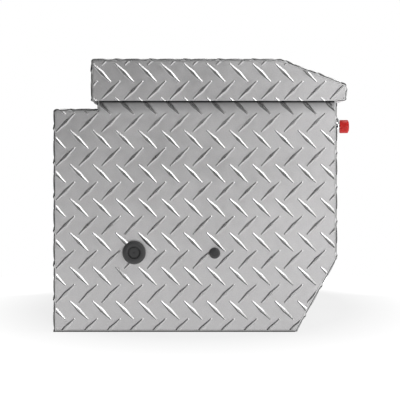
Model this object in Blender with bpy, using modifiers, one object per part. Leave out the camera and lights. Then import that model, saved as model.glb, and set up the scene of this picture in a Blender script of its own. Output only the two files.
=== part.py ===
"""Fresh water tank for a food truck: a moulded water vessel in a casing of folded
tread plate, with a hinged lid over a shallow compartment.

Metres, +Z up. The origin is the centre of the underside. +X is the front, with the
release button and the chamfer. -X is the rear, with the shelf and the lid hinge.
The length runs along Y, and the two ports are in the end panel that faces -Y.
"""
import math

import bmesh
import bpy
from mathutils import Matrix, Vector

# ---------------------------------------------------------------- driving dimensions
GAP = 0.0003  # clearance left between neighbouring pieces

# Casing
SHEET = 0.003
HALF_LENGTH = 0.457
HALF_WIDTH = 0.254
SHELF_Z = 0.400
RISER_X = -0.176
RIM_Z = 0.432
RIM_FLANGE = 0.022
CHAMFER_TOP_Z = 0.131
CHAMFER_FOOT_X = 0.181
ANGLE_LEG = 0.020
ANGLE_SHEET = 0.002

# Lid
LID_REAR_X = -0.186
LID_FRONT_X = 0.271
LID_SKIRT_Z = 0.416
LID_TOP_Z = 0.490
LID_SLOPE_X = 0.154
LID_LIP_Z = 0.4455
LID_HALF_LENGTH = 0.471
LID_RETURN = 0.015
PAN_SHEET = 0.002
STIFFENER_FLANGE = 0.020
STIFFENER_YS = {"left": -0.165, "right": 0.145}
SEAL_RADIUS = 0.00435
SEAL_INSET = 0.011

# Piano hinge
HINGE_X = -0.1795
HINGE_Z = 0.4135
KNUCKLE_RADIUS = 0.0032
KNUCKLE_BORE = 0.0019
HINGE_PIN_RADIUS = 0.0016
KNUCKLES = 12
KNUCKLE_SPACE = 0.0006
HINGE_HALF_LENGTH = 0.450
LEAF_SHEET = 0.0015
BODY_LEAF_TOP = 0.4285
LID_LEAF_TOP = 0.4395

# Water vessel
VESSEL_CLEARANCE = 0.0055
VESSEL_TOP_Z = 0.300
VESSEL_WALL = 0.006
VESSEL_HALF_LENGTH = 0.448
VESSEL_EDGE = 0.004
FILLER_X = 0.040
FILLER_Y = -0.180
FILLER_NECK_RADIUS = 0.045
FILLER_BORE = 0.040
FILLER_NECK_TOP = 0.345
FILLER_GASKET = 0.0021
CAP_TOP_SHEET = 0.008
CAP_WALL = 0.0078
CAP_SKIRT = 0.022
VENT_X = -0.110
VENT_Y = -0.180
VENT_NECK_RADIUS = 0.012
VENT_BORE = 0.008
VENT_NECK_TOP = 0.330
VENT_CAP_RADIUS = 0.018
VENT_CAP_STEM_RADIUS = 0.015

# Level sender
SENDER_X = 0.060
SENDER_Y = 0.200
SENDER_BORE = 0.021
SENDER_FLANGE_RADIUS = 0.032
SENDER_PIVOT_Z = 0.165
SENDER_STEM_RADIUS = 0.005
FLOAT_ARM_LENGTH = 0.120
FLOAT_DROP_DEG = 48.0
FLOAT_RADIUS = 0.020
FLOAT_HALF_LENGTH = 0.024
FLOAT_WIRE_RADIUS = 0.0014
SENDER_PIN_RADIUS = 0.0016
SENDER_PIN_REACH = 0.008

# Compartment floor
DECK_Z = 0.312
DECK_SHEET = 0.002
DECK_RAIL_Z = 0.290

# Ports in the end panel: x, z, plug head, bulkhead tube, bulkhead bore
OUTLET = {"x": -0.110, "z": 0.143, "head": 0.021, "tube": 0.0172, "bore": 0.0142}
AUX = {"x": 0.035, "z": 0.142, "head": 0.010, "tube": 0.0074, "bore": 0.0052}
WASHER = 0.0015
BULKHEAD_FLANGE = 0.006
PLUG_SHANK = 0.016

# Latches, one near each end of the front wall
LATCH_YS = {"left": -0.330, "right": 0.330}
BUTTON_Z = 0.3706
BUTTON_RADIUS = 0.0122
BUTTON_BACK_X = 0.2648
BUTTON_FACE_X = 0.2826
BUTTON_CLEARANCE = 0.0005
BUTTON_SOCKET = 0.008
STEM_RADIUS = 0.005
BUSHING_RADIUS = 0.008
BUSHING_FLANGE = 0.0014
BUSHING_FLANGE_RADIUS = 0.011
BUSHING_REACH = 0.0115
PLATE_HALF_WIDTH = 0.017
PLATE_LOW_Z = 0.3545
PLATE_HIGH_Z = 0.3945
PLATE_FACE_X = 0.2630
PLATE_EDGE = 0.0015
HOOK_PIVOT_X = 0.212
HOOK_PIVOT_Z = 0.352
HOUSING_HALF_WIDTH = 0.020
HOUSING_MARGIN = 0.008
LATCH_PIN_RADIUS = 0.0019
HOOK_HALF_WIDTH = 0.005
STRIKER_HALF_WIDTH = 0.012
STRIKER_SHEET = 0.002

# Gas struts, in planes of constant Y near each end
STRUT_Y = 0.418
STRUT_FOOT_X = -0.140
STRUT_FOOT_Z = 0.378
STRUT_HEAD_X = 0.050
STRUT_HEAD_Z = 0.417
STRUT_TUBE_RADIUS = 0.008
STRUT_ROD_RADIUS = 0.004
STRUT_EYE_RADIUS = 0.009
STRUT_EYE_BORE = 0.0044
STRUT_EYE_WIDTH = 0.008
STRUT_STUD_RADIUS = 0.004
STUD_FLANGE_RADIUS = 0.014
STUD_FLANGE = 0.0025

FINE_SEGMENTS = 32
COARSE_SEGMENTS = 16

ALUMINIUM = ((0.62, 0.63, 0.64), 0.35, 1.0)
STEEL = ((0.55, 0.55, 0.55), 0.30, 1.0)
CHROME = ((0.80, 0.80, 0.81), 0.08, 1.0)
BLACK_PAINT = ((0.03, 0.03, 0.03), 0.40, 0.0)
BLACK_PLASTIC = ((0.04, 0.04, 0.04), 0.50, 0.0)
BLACK_RUBBER = ((0.02, 0.02, 0.02), 0.75, 0.0)
RED_PLASTIC = ((0.60, 0.03, 0.02), 0.25, 0.0)
WHITE_PLASTIC = ((0.82, 0.84, 0.84), 0.45, 0.0)
BLUE_PLASTIC = ((0.05, 0.16, 0.42), 0.45, 0.0)

PARTS = bpy.data.collections.new("fresh_water_tank")
CUTTERS = bpy.data.collections.new("cutters")


# ---------------------------------------------------------------- modelling helpers
def clear_scene():
    for old in list(bpy.data.objects):
        bpy.data.objects.remove(old)
    bpy.context.scene.collection.children.link(PARTS)
    bpy.context.scene.collection.children.link(CUTTERS)
    CUTTERS.hide_render = True


def finish_material(name, finish):
    colour, roughness, metallic = finish
    material = bpy.data.materials.new(name)
    material.use_nodes = True
    shader = material.node_tree.nodes["Principled BSDF"]
    shader.inputs["Base Color"].default_value = (*colour, 1.0)
    shader.inputs["Roughness"].default_value = roughness
    shader.inputs["Metallic"].default_value = metallic
    return material


def add_object(name, data, finish=None):
    """A part when it has a finish, otherwise a helper that is left out of the model."""
    obj = bpy.data.objects.new(name, data)
    if finish is None:
        CUTTERS.objects.link(obj)
        obj.hide_render = True
        obj.display_type = "WIRE"
    else:
        PARTS.objects.link(obj)
        data.materials.append(finish_material(name, finish))
    return obj


def add_empty(name, place):
    empty = bpy.data.objects.new(name, None)
    PARTS.objects.link(empty)
    empty.location = place
    return empty


def bmesh_object(name, bm, finish=None):
    mesh = bpy.data.meshes.new(name)
    bm.to_mesh(mesh)
    bm.free()
    return add_object(name, mesh, finish)


def turn_to(obj, direction):
    """Points the object's local Z along the direction."""
    obj.rotation_mode = "QUATERNION"
    obj.rotation_quaternion = Vector(direction).to_track_quat("Z", "Y")


def smooth(obj):
    obj.data.shade_smooth()
    obj.data.set_sharp_from_angle(angle=math.radians(40))


def box(name, low, high, finish=None):
    bm = bmesh.new()
    size = [b - a for a, b in zip(low, high)]
    bmesh.ops.create_cube(bm, size=1.0, matrix=Matrix.Diagonal((*size, 1.0)))
    obj = bmesh_object(name, bm, finish)
    obj.location = [(a + b) / 2 for a, b in zip(low, high)]
    return obj


def cylinder(name, radius, start, end, finish=None, segments=COARSE_SEGMENTS):
    start = Vector(start)
    end = Vector(end)
    bm = bmesh.new()
    bmesh.ops.create_cone(
        bm,
        cap_ends=True,
        segments=segments,
        radius1=radius,
        radius2=radius,
        depth=(end - start).length,
    )
    obj = bmesh_object(name, bm, finish)
    obj.location = (start + end) / 2
    turn_to(obj, end - start)
    smooth(obj)
    return obj


def turned(name, profile, place, direction, finish=None, segments=COARSE_SEGMENTS, ring=False):
    """A Screw of (radius, height) points that run down the outer side. A ring closes its loop."""
    mesh = bpy.data.meshes.new(name)
    points = [(radius, 0.0, height) for radius, height in profile]
    edges = [(i, i + 1) for i in range(len(points) - 1)]
    if ring:
        edges.append((len(points) - 1, 0))
    mesh.from_pydata(points, edges, [])
    obj = add_object(name, mesh, finish)
    screw = obj.modifiers.new("turn", "SCREW")
    screw.steps = segments
    screw.render_steps = segments
    screw.use_merge_vertices = True
    screw.merge_threshold = 0.00005
    screw.use_smooth_shade = True
    obj.location = place
    turn_to(obj, direction)
    return obj


def hex_nut(name, corner_radius, bore, start, end, finish):
    """A six-sided nut between two points on its axis, with a round bore."""
    nut = cylinder(name, corner_radius, start, end, finish, segments=6)
    past = (Vector(end) - Vector(start)) * 0.5
    hole = cylinder(
        name + "_bore", bore, Vector(start) - past, Vector(end) + past, segments=FINE_SEGMENTS
    )
    return cut(nut, hole)


# Rotations that lay a flat outline's own X and Y along two world axes.
OUTLINE_TURNS = {
    "X": (math.pi / 2, 0.0, math.pi / 2),
    "Y": (math.pi / 2, 0.0, 0.0),
    "Z": (0.0, 0.0, 0.0),
}


def axis_place(axis, along):
    return [along if letter == axis else 0.0 for letter in "XYZ"]


def plate(name, outline, axis, start, end, finish=None, holes=()):
    """A flat outline, with round holes (x, y, radius), thick along one world axis."""
    curve = bpy.data.curves.new(name, "CURVE")
    curve.dimensions = "2D"
    curve.fill_mode = "BOTH"
    curve.extrude = (end - start) / 2
    rings = [list(outline)]
    for x, y, radius in holes:
        turns = [math.tau * i / FINE_SEGMENTS for i in range(FINE_SEGMENTS)]
        rings.append([(x + radius * math.cos(t), y + radius * math.sin(t)) for t in turns])
    for ring in rings:
        spline = curve.splines.new("POLY")
        spline.points.add(len(ring) - 1)
        spline.use_cyclic_u = True
        for point, (x, y) in zip(spline.points, ring):
            point.co = (x, y, 0.0, 1.0)
    obj = add_object(name, curve, finish)
    obj.location = axis_place(axis, (start + end) / 2)
    obj.rotation_euler = OUTLINE_TURNS[axis]
    return obj


def folded(name, profile, axis, start, end, thickness, side, finish):
    """A strip of sheet folded along a profile. Its thickness goes to the right of the profile's
    way when side is +1, to the left when it is -1, and half each way when it is 0."""
    bm = bmesh.new()
    length = end - start
    lows = [bm.verts.new((x, y, -length / 2)) for x, y in profile]
    edges = [bm.edges.new(pair) for pair in zip(lows, lows[1:])]
    grown = bmesh.ops.extrude_edge_only(bm, edges=edges)["geom"]
    tops = [item for item in grown if isinstance(item, bmesh.types.BMVert)]
    bmesh.ops.translate(bm, verts=tops, vec=(0.0, 0.0, length))
    obj = bmesh_object(name, bm, finish)
    obj.location = axis_place(axis, (start + end) / 2)
    obj.rotation_euler = OUTLINE_TURNS[axis]
    solidify = obj.modifiers.new("sheet", "SOLIDIFY")
    solidify.thickness = thickness
    solidify.offset = -side
    solidify.use_even_offset = True
    return obj


def as_mesh(obj):
    """Replaces a curve object by the mesh it evaluates to."""
    bpy.context.view_layer.update()
    graph = bpy.context.evaluated_depsgraph_get()
    mesh = bpy.data.meshes.new_from_object(obj.evaluated_get(graph))
    bm = bmesh.new()
    bm.from_mesh(mesh)
    bmesh.ops.remove_doubles(bm, verts=bm.verts, dist=0.00002)
    bm.to_mesh(mesh)
    bm.free()
    name = obj.name
    place = obj.matrix_world.copy()
    collection = obj.users_collection[0]
    bpy.data.objects.remove(obj)
    mesh.name = name
    made = bpy.data.objects.new(name, mesh)
    collection.objects.link(made)
    made.hide_render = collection == CUTTERS
    made.display_type = "WIRE" if collection == CUTTERS else "TEXTURED"
    made.matrix_world = place
    return made


def boolean(obj, other, operation):
    modifier = obj.modifiers.new(operation.lower(), "BOOLEAN")
    modifier.operation = operation
    modifier.solver = "EXACT"
    modifier.object = other
    return obj


def cut(obj, *others):
    for other in others:
        boolean(obj, other, "DIFFERENCE")
    return obj


def join(obj, *others):
    for other in others:
        boolean(obj, other, "UNION")
    return obj


def hold(parent, *children):
    """Parents the children where they stand."""
    bpy.context.view_layer.update()
    for child in children:
        place = child.matrix_world.copy()
        child.parent = parent
        child.matrix_parent_inverse = parent.matrix_world.inverted()
        child.matrix_world = place


def rectangle(low, high):
    return [(low[0], low[1]), (high[0], low[1]), (high[0], high[1]), (low[0], high[1])]


def inset(outline, distance):
    """The closed counter-clockwise outline moved inwards by the distance."""
    moved = []
    count = len(outline)
    for i in range(count):
        corner = Vector(outline[i])
        before = (corner - Vector(outline[i - 1])).normalized()
        after = (Vector(outline[(i + 1) % count]) - corner).normalized()
        normal_before = Vector((-before.y, before.x))
        normal_after = Vector((-after.y, after.x))
        bisector = (normal_before + normal_after).normalized()
        moved.append(tuple(corner + bisector * distance / bisector.dot(normal_before)))
    return moved


def chamfer_x(z):
    """Where the chamfer's outer face is at a height."""
    return CHAMFER_FOOT_X + z * (HALF_WIDTH - CHAMFER_FOOT_X) / CHAMFER_TOP_Z


# ---------------------------------------------------------------- outlines
BODY_OUTLINE = [
    (CHAMFER_FOOT_X, 0.0),
    (HALF_WIDTH, CHAMFER_TOP_Z),
    (HALF_WIDTH, RIM_Z),
    (RISER_X, RIM_Z),
    (RISER_X, SHELF_Z),
    (-HALF_WIDTH, SHELF_Z),
    (-HALF_WIDTH, 0.0),
]
LID_OUTLINE = [
    (LID_FRONT_X, LID_SKIRT_Z - SHEET - GAP),
    (LID_FRONT_X, LID_LIP_Z),
    (LID_SLOPE_X, LID_TOP_Z),
    (LID_REAR_X, LID_TOP_Z),
    (LID_REAR_X, LID_SKIRT_Z - SHEET - GAP),
]
VESSEL_DROP = VESSEL_CLEARANCE - SHEET - GAP  # the vessel rests on the floor sheet
VESSEL_OUTLINE = inset(
    [
        (chamfer_x(-VESSEL_DROP), -VESSEL_DROP),
        (HALF_WIDTH, CHAMFER_TOP_Z),
        (HALF_WIDTH, VESSEL_TOP_Z + VESSEL_CLEARANCE),
        (-HALF_WIDTH, VESSEL_TOP_Z + VESSEL_CLEARANCE),
        (-HALF_WIDTH, -VESSEL_DROP),
    ],
    VESSEL_CLEARANCE,
)


# ---------------------------------------------------------------- casing
def build_front_skin():
    floor_end = -HALF_WIDTH + SHEET + GAP
    profile = [
        (HALF_WIDTH - RIM_FLANGE, RIM_Z),
        (HALF_WIDTH, RIM_Z),
        (HALF_WIDTH, CHAMFER_TOP_Z),
        (CHAMFER_FOOT_X, 0.0),
        (floor_end, 0.0),
    ]
    skin = folded("front_skin", profile, "Y", -HALF_LENGTH, HALF_LENGTH, SHEET, 1, ALUMINIUM)
    for label, y in LATCH_YS.items():
        hole = cylinder(
            "bushing_hole_" + label,
            BUSHING_RADIUS + 2 * GAP,
            (HALF_WIDTH - 0.02, y, BUTTON_Z),
            (HALF_WIDTH + 0.02, y, BUTTON_Z),
            segments=FINE_SEGMENTS,
        )
        cut(skin, hole)


def build_rear_skin():
    profile = [
        (-HALF_WIDTH, 0.0),
        (-HALF_WIDTH, SHELF_Z),
        (RISER_X, SHELF_Z),
        (RISER_X, RIM_Z),
        (RISER_X + RIM_FLANGE, RIM_Z),
    ]
    return folded("rear_skin", profile, "Y", -HALF_LENGTH, HALF_LENGTH, SHEET, 1, ALUMINIUM)


def build_end_panels():
    outline = inset(BODY_OUTLINE, SHEET + GAP)
    inner = HALF_LENGTH - SHEET
    holes = [(port["x"], port["z"], port["tube"] + GAP) for port in (OUTLET, AUX)]
    plate("port_end_panel", outline, "Y", -HALF_LENGTH, -inner, ALUMINIUM, holes)
    plate("plain_end_panel", outline, "Y", inner, HALF_LENGTH, ALUMINIUM)


def build_rim_angles():
    """An angle closes the rim between the skins' flanges at each end."""
    start = RISER_X + RIM_FLANGE + GAP
    end = HALF_WIDTH - RIM_FLANGE - GAP
    wall = HALF_LENGTH - SHEET - GAP
    for label, sign in (("left", -1), ("right", 1)):
        profile = [
            (sign * (HALF_LENGTH - RIM_FLANGE), RIM_Z - SHEET / 2),
            (sign * (wall - SHEET / 2), RIM_Z - SHEET / 2),
            (sign * (wall - SHEET / 2), RIM_Z - ANGLE_LEG),
        ]
        folded("rim_angle_" + label, profile, "X", start, end, SHEET, 0, ALUMINIUM)


def build_deck():
    """The compartment floor rests on a rail along the front wall and one along the rear."""
    wall = HALF_WIDTH - SHEET - GAP
    middle = ANGLE_SHEET / 2
    half_length = HALF_LENGTH - SHEET - GAP
    for label, sign in (("rear", -1), ("front", 1)):
        profile = [
            (sign * (wall - middle), DECK_RAIL_Z),
            (sign * (wall - middle), DECK_Z - GAP - middle),
            (sign * (wall - ANGLE_LEG), DECK_Z - GAP - middle),
        ]
        name = "deck_rail_" + label
        folded(name, profile, "Y", -half_length, half_length, ANGLE_SHEET, 0, ALUMINIUM)
    edge_x = wall - ANGLE_SHEET - GAP
    edge_y = HALF_LENGTH - SHEET - ANGLE_SHEET - 2 * GAP
    outline = rectangle((-edge_x, -edge_y), (edge_x, edge_y))
    holes = [
        (FILLER_X, FILLER_Y, FILLER_NECK_RADIUS + 0.003),
        (VENT_X, VENT_Y, VENT_NECK_RADIUS + 0.003),
        (SENDER_X, SENDER_Y, SENDER_BORE),
    ]
    plate("deck_plate", outline, "Z", DECK_Z, DECK_Z + DECK_SHEET, ALUMINIUM, holes)


def build_rim_seal():
    curve = bpy.data.curves.new("rim_seal", "CURVE")
    curve.dimensions = "3D"
    curve.bevel_depth = SEAL_RADIUS
    curve.bevel_resolution = 2
    curve.resolution_u = 1
    low = (RISER_X + SEAL_INSET, -HALF_LENGTH + SEAL_INSET)
    high = (HALF_WIDTH - SEAL_INSET, HALF_LENGTH - SEAL_INSET)
    spline = curve.splines.new("POLY")
    spline.points.add(3)
    spline.use_cyclic_u = True
    for point, (x, y) in zip(spline.points, rectangle(low, high)):
        point.co = (x, y, 0.0, 1.0)
    seal = add_object("rim_seal", curve, BLACK_RUBBER)
    seal.location.z = RIM_Z + GAP + SEAL_RADIUS


# ---------------------------------------------------------------- lid
def build_lid():
    profile = [
        (LID_FRONT_X - LID_RETURN, LID_SKIRT_Z),
        (LID_FRONT_X, LID_SKIRT_Z),
        (LID_FRONT_X, LID_LIP_Z),
        (LID_SLOPE_X, LID_TOP_Z),
        (LID_REAR_X, LID_TOP_Z),
        (LID_REAR_X, LID_SKIRT_Z),
    ]
    ends = LID_HALF_LENGTH
    skin = folded("lid_skin", profile, "Y", -ends, ends, SHEET, -1, ALUMINIUM)
    outline = inset(LID_OUTLINE, SHEET + GAP)
    outline[0] = (outline[0][0], LID_SKIRT_Z + SHEET + GAP)
    outline[-1] = (outline[-1][0], LID_SKIRT_Z)
    behind_return = LID_FRONT_X - LID_RETURN - GAP
    outline += [(behind_return, LID_SKIRT_Z), (behind_return, LID_SKIRT_Z + SHEET + GAP)]
    left = plate("lid_end_left", outline, "Y", -ends, -ends + SHEET, ALUMINIUM)
    right = plate("lid_end_right", outline, "Y", ends - SHEET, ends, ALUMINIUM)
    pan = build_lid_pan()
    return [skin, left, right, pan, *build_stiffeners()]


def pan_bottom():
    return RIM_Z + GAP + 2 * SEAL_RADIUS + GAP


def build_lid_pan():
    low = (LID_REAR_X + SHEET + 2 * GAP + LEAF_SHEET, -LID_HALF_LENGTH + SHEET + GAP)
    high = (LID_FRONT_X - 3 * SHEET, LID_HALF_LENGTH - SHEET - GAP)
    bottom = pan_bottom()
    return plate(
        "lid_pan", rectangle(low, high), "Z", bottom, bottom + PAN_SHEET, ALUMINIUM
    )


def build_stiffeners():
    """Channels that tie the lid pan to the lid skin."""
    low = pan_bottom() + PAN_SHEET + GAP + PAN_SHEET / 2
    high = LID_TOP_Z - SHEET - GAP - PAN_SHEET / 2
    made = []
    for label, y in STIFFENER_YS.items():
        profile = [
            (y + STIFFENER_FLANGE, low),
            (y, low),
            (y, high),
            (y + STIFFENER_FLANGE, high),
        ]
        name = "lid_stiffener_" + label
        start = LID_REAR_X + 2 * SHEET
        end = LID_SLOPE_X - 2 * SHEET
        made.append(folded(name, profile, "X", start, end, PAN_SHEET, 0, ALUMINIUM))
    return made


# ---------------------------------------------------------------- piano hinge
def knuckle_spans(first):
    """(start, end) along Y of every second knuckle."""
    pitch = 2 * HINGE_HALF_LENGTH / KNUCKLES
    for i in range(first, KNUCKLES, 2):
        start = -HINGE_HALF_LENGTH + i * pitch
        yield start + KNUCKLE_SPACE / 2, start + pitch - KNUCKLE_SPACE / 2


def build_hinge_leaf(name, first, leaf_x, leaf_top):
    """A leaf with its own knuckles. leaf_x is the middle of the leaf's thickness."""
    half = LEAF_SHEET / 2
    foot = HINGE_Z + KNUCKLE_RADIUS + GAP
    leaf = box(
        name,
        (leaf_x - half, -HINGE_HALF_LENGTH, foot),
        (leaf_x + half, HINGE_HALF_LENGTH, leaf_top),
        ALUMINIUM,
    )
    for i, (start, end) in enumerate(knuckle_spans(first)):
        label = name + "_" + str(i)
        barrel = cylinder(
            label + "_barrel", KNUCKLE_RADIUS, (HINGE_X, start, HINGE_Z), (HINGE_X, end, HINGE_Z),
            segments=12,
        )
        web = box(
            label + "_web",
            (leaf_x - half + 0.0001, start + 0.0001, HINGE_Z),
            (leaf_x + half - 0.0001, end - 0.0001, foot + 0.002),
        )
        join(leaf, barrel, web)
    bore = cylinder(
        name + "_bore",
        KNUCKLE_BORE,
        (HINGE_X, -HALF_LENGTH, HINGE_Z),
        (HINGE_X, HALF_LENGTH, HINGE_Z),
        segments=12,
    )
    return cut(leaf, bore)


def build_hinge():
    reach = KNUCKLE_RADIUS - LEAF_SHEET / 2
    build_hinge_leaf("hinge_leaf_body", 0, HINGE_X + reach, BODY_LEAF_TOP)
    lid_leaf = build_hinge_leaf("hinge_leaf_lid", 1, HINGE_X - reach, LID_LEAF_TOP)
    cylinder(
        "hinge_pin",
        HINGE_PIN_RADIUS,
        (HINGE_X, -HINGE_HALF_LENGTH, HINGE_Z),
        (HINGE_X, HINGE_HALF_LENGTH, HINGE_Z),
        STEEL,
        segments=12,
    )
    return lid_leaf


# ---------------------------------------------------------------- water vessel
def build_vessel():
    """A hollow moulding: an outer and an inner prism, with necks joined on and bores cut."""
    half = VESSEL_HALF_LENGTH
    vessel = as_mesh(plate("water_vessel", VESSEL_OUTLINE, "Y", -half, half, WHITE_PLASTIC))
    edges = vessel.modifiers.new("edges", "BEVEL")
    edges.width = VESSEL_EDGE
    edges.segments = 2
    inner_half = half - VESSEL_WALL
    inner_outline = inset(VESSEL_OUTLINE, VESSEL_WALL)
    hollow = as_mesh(plate("vessel_hollow", inner_outline, "Y", -inner_half, inner_half))
    inside = VESSEL_TOP_Z - VESSEL_WALL / 2
    necks = []
    bores = []
    for label, x, y, radius, bore, top in (
        ("filler", FILLER_X, FILLER_Y, FILLER_NECK_RADIUS, FILLER_BORE, FILLER_NECK_TOP),
        ("vent", VENT_X, VENT_Y, VENT_NECK_RADIUS, VENT_BORE, VENT_NECK_TOP),
    ):
        necks.append(
            cylinder(label + "_neck", radius, (x, y, inside), (x, y, top), segments=FINE_SEGMENTS)
        )
        low = (x, y, inside - VESSEL_WALL)
        high = (x, y, top + VESSEL_WALL)
        bores.append(cylinder(label + "_bore", bore, low, high, segments=FINE_SEGMENTS))
    low = (SENDER_X, SENDER_Y, inside - VESSEL_WALL)
    high = (SENDER_X, SENDER_Y, inside + 2 * VESSEL_WALL)
    bores.append(cylinder("sender_bore", SENDER_BORE, low, high, segments=FINE_SEGMENTS))
    for label, port in (("outlet", OUTLET), ("aux", AUX)):
        near = (port["x"], -half - VESSEL_WALL, port["z"])
        far = (port["x"], -inner_half + VESSEL_WALL, port["z"])
        radius = port["tube"] + GAP
        bores.append(cylinder(label + "_hole", radius, near, far, segments=FINE_SEGMENTS))
    join(vessel, *necks)
    return cut(vessel, hollow, *bores)


def build_filler_cap():
    place = (FILLER_X, FILLER_Y, FILLER_NECK_TOP)
    gasket_top = GAP + FILLER_GASKET
    gasket = [
        (FILLER_NECK_RADIUS, gasket_top),
        (FILLER_NECK_RADIUS, GAP),
        (FILLER_BORE, GAP),
        (FILLER_BORE, gasket_top),
    ]
    turned(
        "filler_gasket", gasket, place, (0, 0, 1), BLACK_RUBBER, FINE_SEGMENTS, ring=True
    )
    under = gasket_top + GAP
    top = under + CAP_TOP_SHEET
    bore = FILLER_NECK_RADIUS + 0.0012
    outer = bore + CAP_WALL
    skirt = -CAP_SKIRT
    cap = [
        (0.0, top),
        (outer - 0.003, top),
        (outer, top - 0.003),
        (outer, skirt),
        (bore, skirt),
        (bore, under),
        (0.0, under),
    ]
    turned("filler_cap", cap, place, (0, 0, 1), BLUE_PLASTIC, FINE_SEGMENTS)


def build_vent_cap():
    """A breather pushed over the vent neck, with room inside for the air."""
    place = (VENT_X, VENT_Y, VENT_NECK_TOP)
    bore = VENT_NECK_RADIUS + GAP
    profile = [
        (0.0, 0.014),
        (0.012, 0.013),
        (VENT_CAP_RADIUS, 0.008),
        (VENT_CAP_RADIUS, 0.002),
        (VENT_CAP_STEM_RADIUS, 0.0),
        (VENT_CAP_STEM_RADIUS, -0.010),
        (bore, -0.010),
        (bore, 0.004),
        (0.0, 0.004),
    ]
    turned("vent_cap", profile, place, (0, 0, 1), BLACK_PLASTIC, 24)


def build_level_sender():
    flange_z = VESSEL_TOP_Z + GAP
    place = (SENDER_X, SENDER_Y, flange_z)
    stem_end = SENDER_PIVOT_Z - 0.006 - flange_z
    profile = [
        (0.0, 0.024),
        (0.009, 0.024),
        (0.009, 0.006),
        (SENDER_FLANGE_RADIUS, 0.006),
        (SENDER_FLANGE_RADIUS, 0.0),
        (SENDER_STEM_RADIUS, 0.0),
        (SENDER_STEM_RADIUS, stem_end),
        (0.0, stem_end),
    ]
    sender = turned("level_sender", profile, place, (0, 0, 1), BLACK_PLASTIC, 24)
    pin_end = SENDER_X + SENDER_STEM_RADIUS + SENDER_PIN_REACH
    pin = cylinder(
        "sender_pin",
        SENDER_PIN_RADIUS,
        (SENDER_X, SENDER_Y, SENDER_PIVOT_Z),
        (pin_end, SENDER_Y, SENDER_PIVOT_Z),
        segments=12,
    )
    join(sender, pin)


def build_float():
    """The arm hangs to the low-water stop, in the plane just beside the stem."""
    pivot_x = SENDER_X + SENDER_STEM_RADIUS + SENDER_PIN_REACH / 2
    pivot = Vector((pivot_x, SENDER_Y, SENDER_PIVOT_Z))
    drop = math.radians(FLOAT_DROP_DEG)
    along = Vector((0.0, -math.cos(drop), -math.sin(drop)))
    tip = pivot + along * FLOAT_ARM_LENGTH
    arm = turned(
        "float_arm",
        [(0.0042, 0.002), (0.0042, -0.002), (0.0019, -0.002), (0.0019, 0.002)],
        pivot,
        (1, 0, 0),
        STEEL,
        12,
        ring=True,
    )
    wire = cylinder("float_wire", FLOAT_WIRE_RADIUS, pivot + along * 0.0034, tip, segments=8)
    join(arm, wire)
    half = Vector((FLOAT_HALF_LENGTH, 0.0, 0.0))
    centre = tip + along * (FLOAT_RADIUS + GAP)
    float_body = cylinder(
        "level_float", FLOAT_RADIUS, centre - half, centre + half, WHITE_PLASTIC, FINE_SEGMENTS
    )
    pivot_empty = add_empty("float_pivot", pivot)
    hold(pivot_empty, arm, float_body)


def build_port(label, port):
    """Bulkhead fitting, gasket and locknut through the vessel and panel, closed by a plug."""
    outward = (0, -1, 0)
    face = -HALF_LENGTH
    place = (port["x"], face, port["z"])
    inside = -(HALF_LENGTH - VESSEL_HALF_LENGTH + VESSEL_WALL) - GAP
    tube = port["tube"]
    bore = port["bore"]
    flange = tube + 0.45 * tube
    bulkhead = [
        (bore, GAP),
        (tube, GAP),
        (tube, inside),
        (flange, inside),
        (flange, inside - BULKHEAD_FLANGE),
        (bore, inside - BULKHEAD_FLANGE),
    ]
    turned(
        label + "_bulkhead", bulkhead, place, outward, BLACK_PLASTIC, FINE_SEGMENTS, ring=True
    )
    clear = tube + GAP
    vessel_face = -(HALF_LENGTH - VESSEL_HALF_LENGTH)
    gasket_top = vessel_face + GAP + WASHER
    gasket = [
        (flange, gasket_top),
        (flange, vessel_face + GAP),
        (clear, vessel_face + GAP),
        (clear, gasket_top),
    ]
    turned(label + "_gasket", gasket, place, outward, BLACK_RUBBER, FINE_SEGMENTS, ring=True)
    hex_nut(
        label + "_locknut",
        flange,
        clear,
        (port["x"], face - (gasket_top + GAP), port["z"]),
        (port["x"], face + SHEET + GAP, port["z"]),
        BLACK_PLASTIC,
    )
    head = port["head"]
    washer_top = 2 * GAP + WASHER
    washer = [
        (0.95 * head, washer_top),
        (0.95 * head, 2 * GAP),
        (bore, 2 * GAP),
        (bore, washer_top),
    ]
    turned(label + "_washer", washer, place, outward, BLACK_RUBBER, FINE_SEGMENTS, ring=True)
    under = washer_top + GAP
    shank = bore - GAP
    depth = -PLUG_SHANK
    if label == "outlet":
        face_profile = [
            (0.0, under + 0.0035),
            (0.0095, under + 0.0035),
            (0.0105, under + 0.0062),
            (head - 0.0012, under + 0.0062),
            (head, under + 0.005),
        ]
    else:
        face_profile = [
            (0.0, under + 0.0048),
            (0.5 * head, under + 0.0042),
            (0.87 * head, under + 0.0026),
            (head, under + 0.0010),
        ]
    plug = [*face_profile, (head, under), (shank, under), (shank, depth), (0.0, depth)]
    turned(label + "_plug", plug, place, outward, BLACK_PLASTIC, FINE_SEGMENTS)


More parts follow.
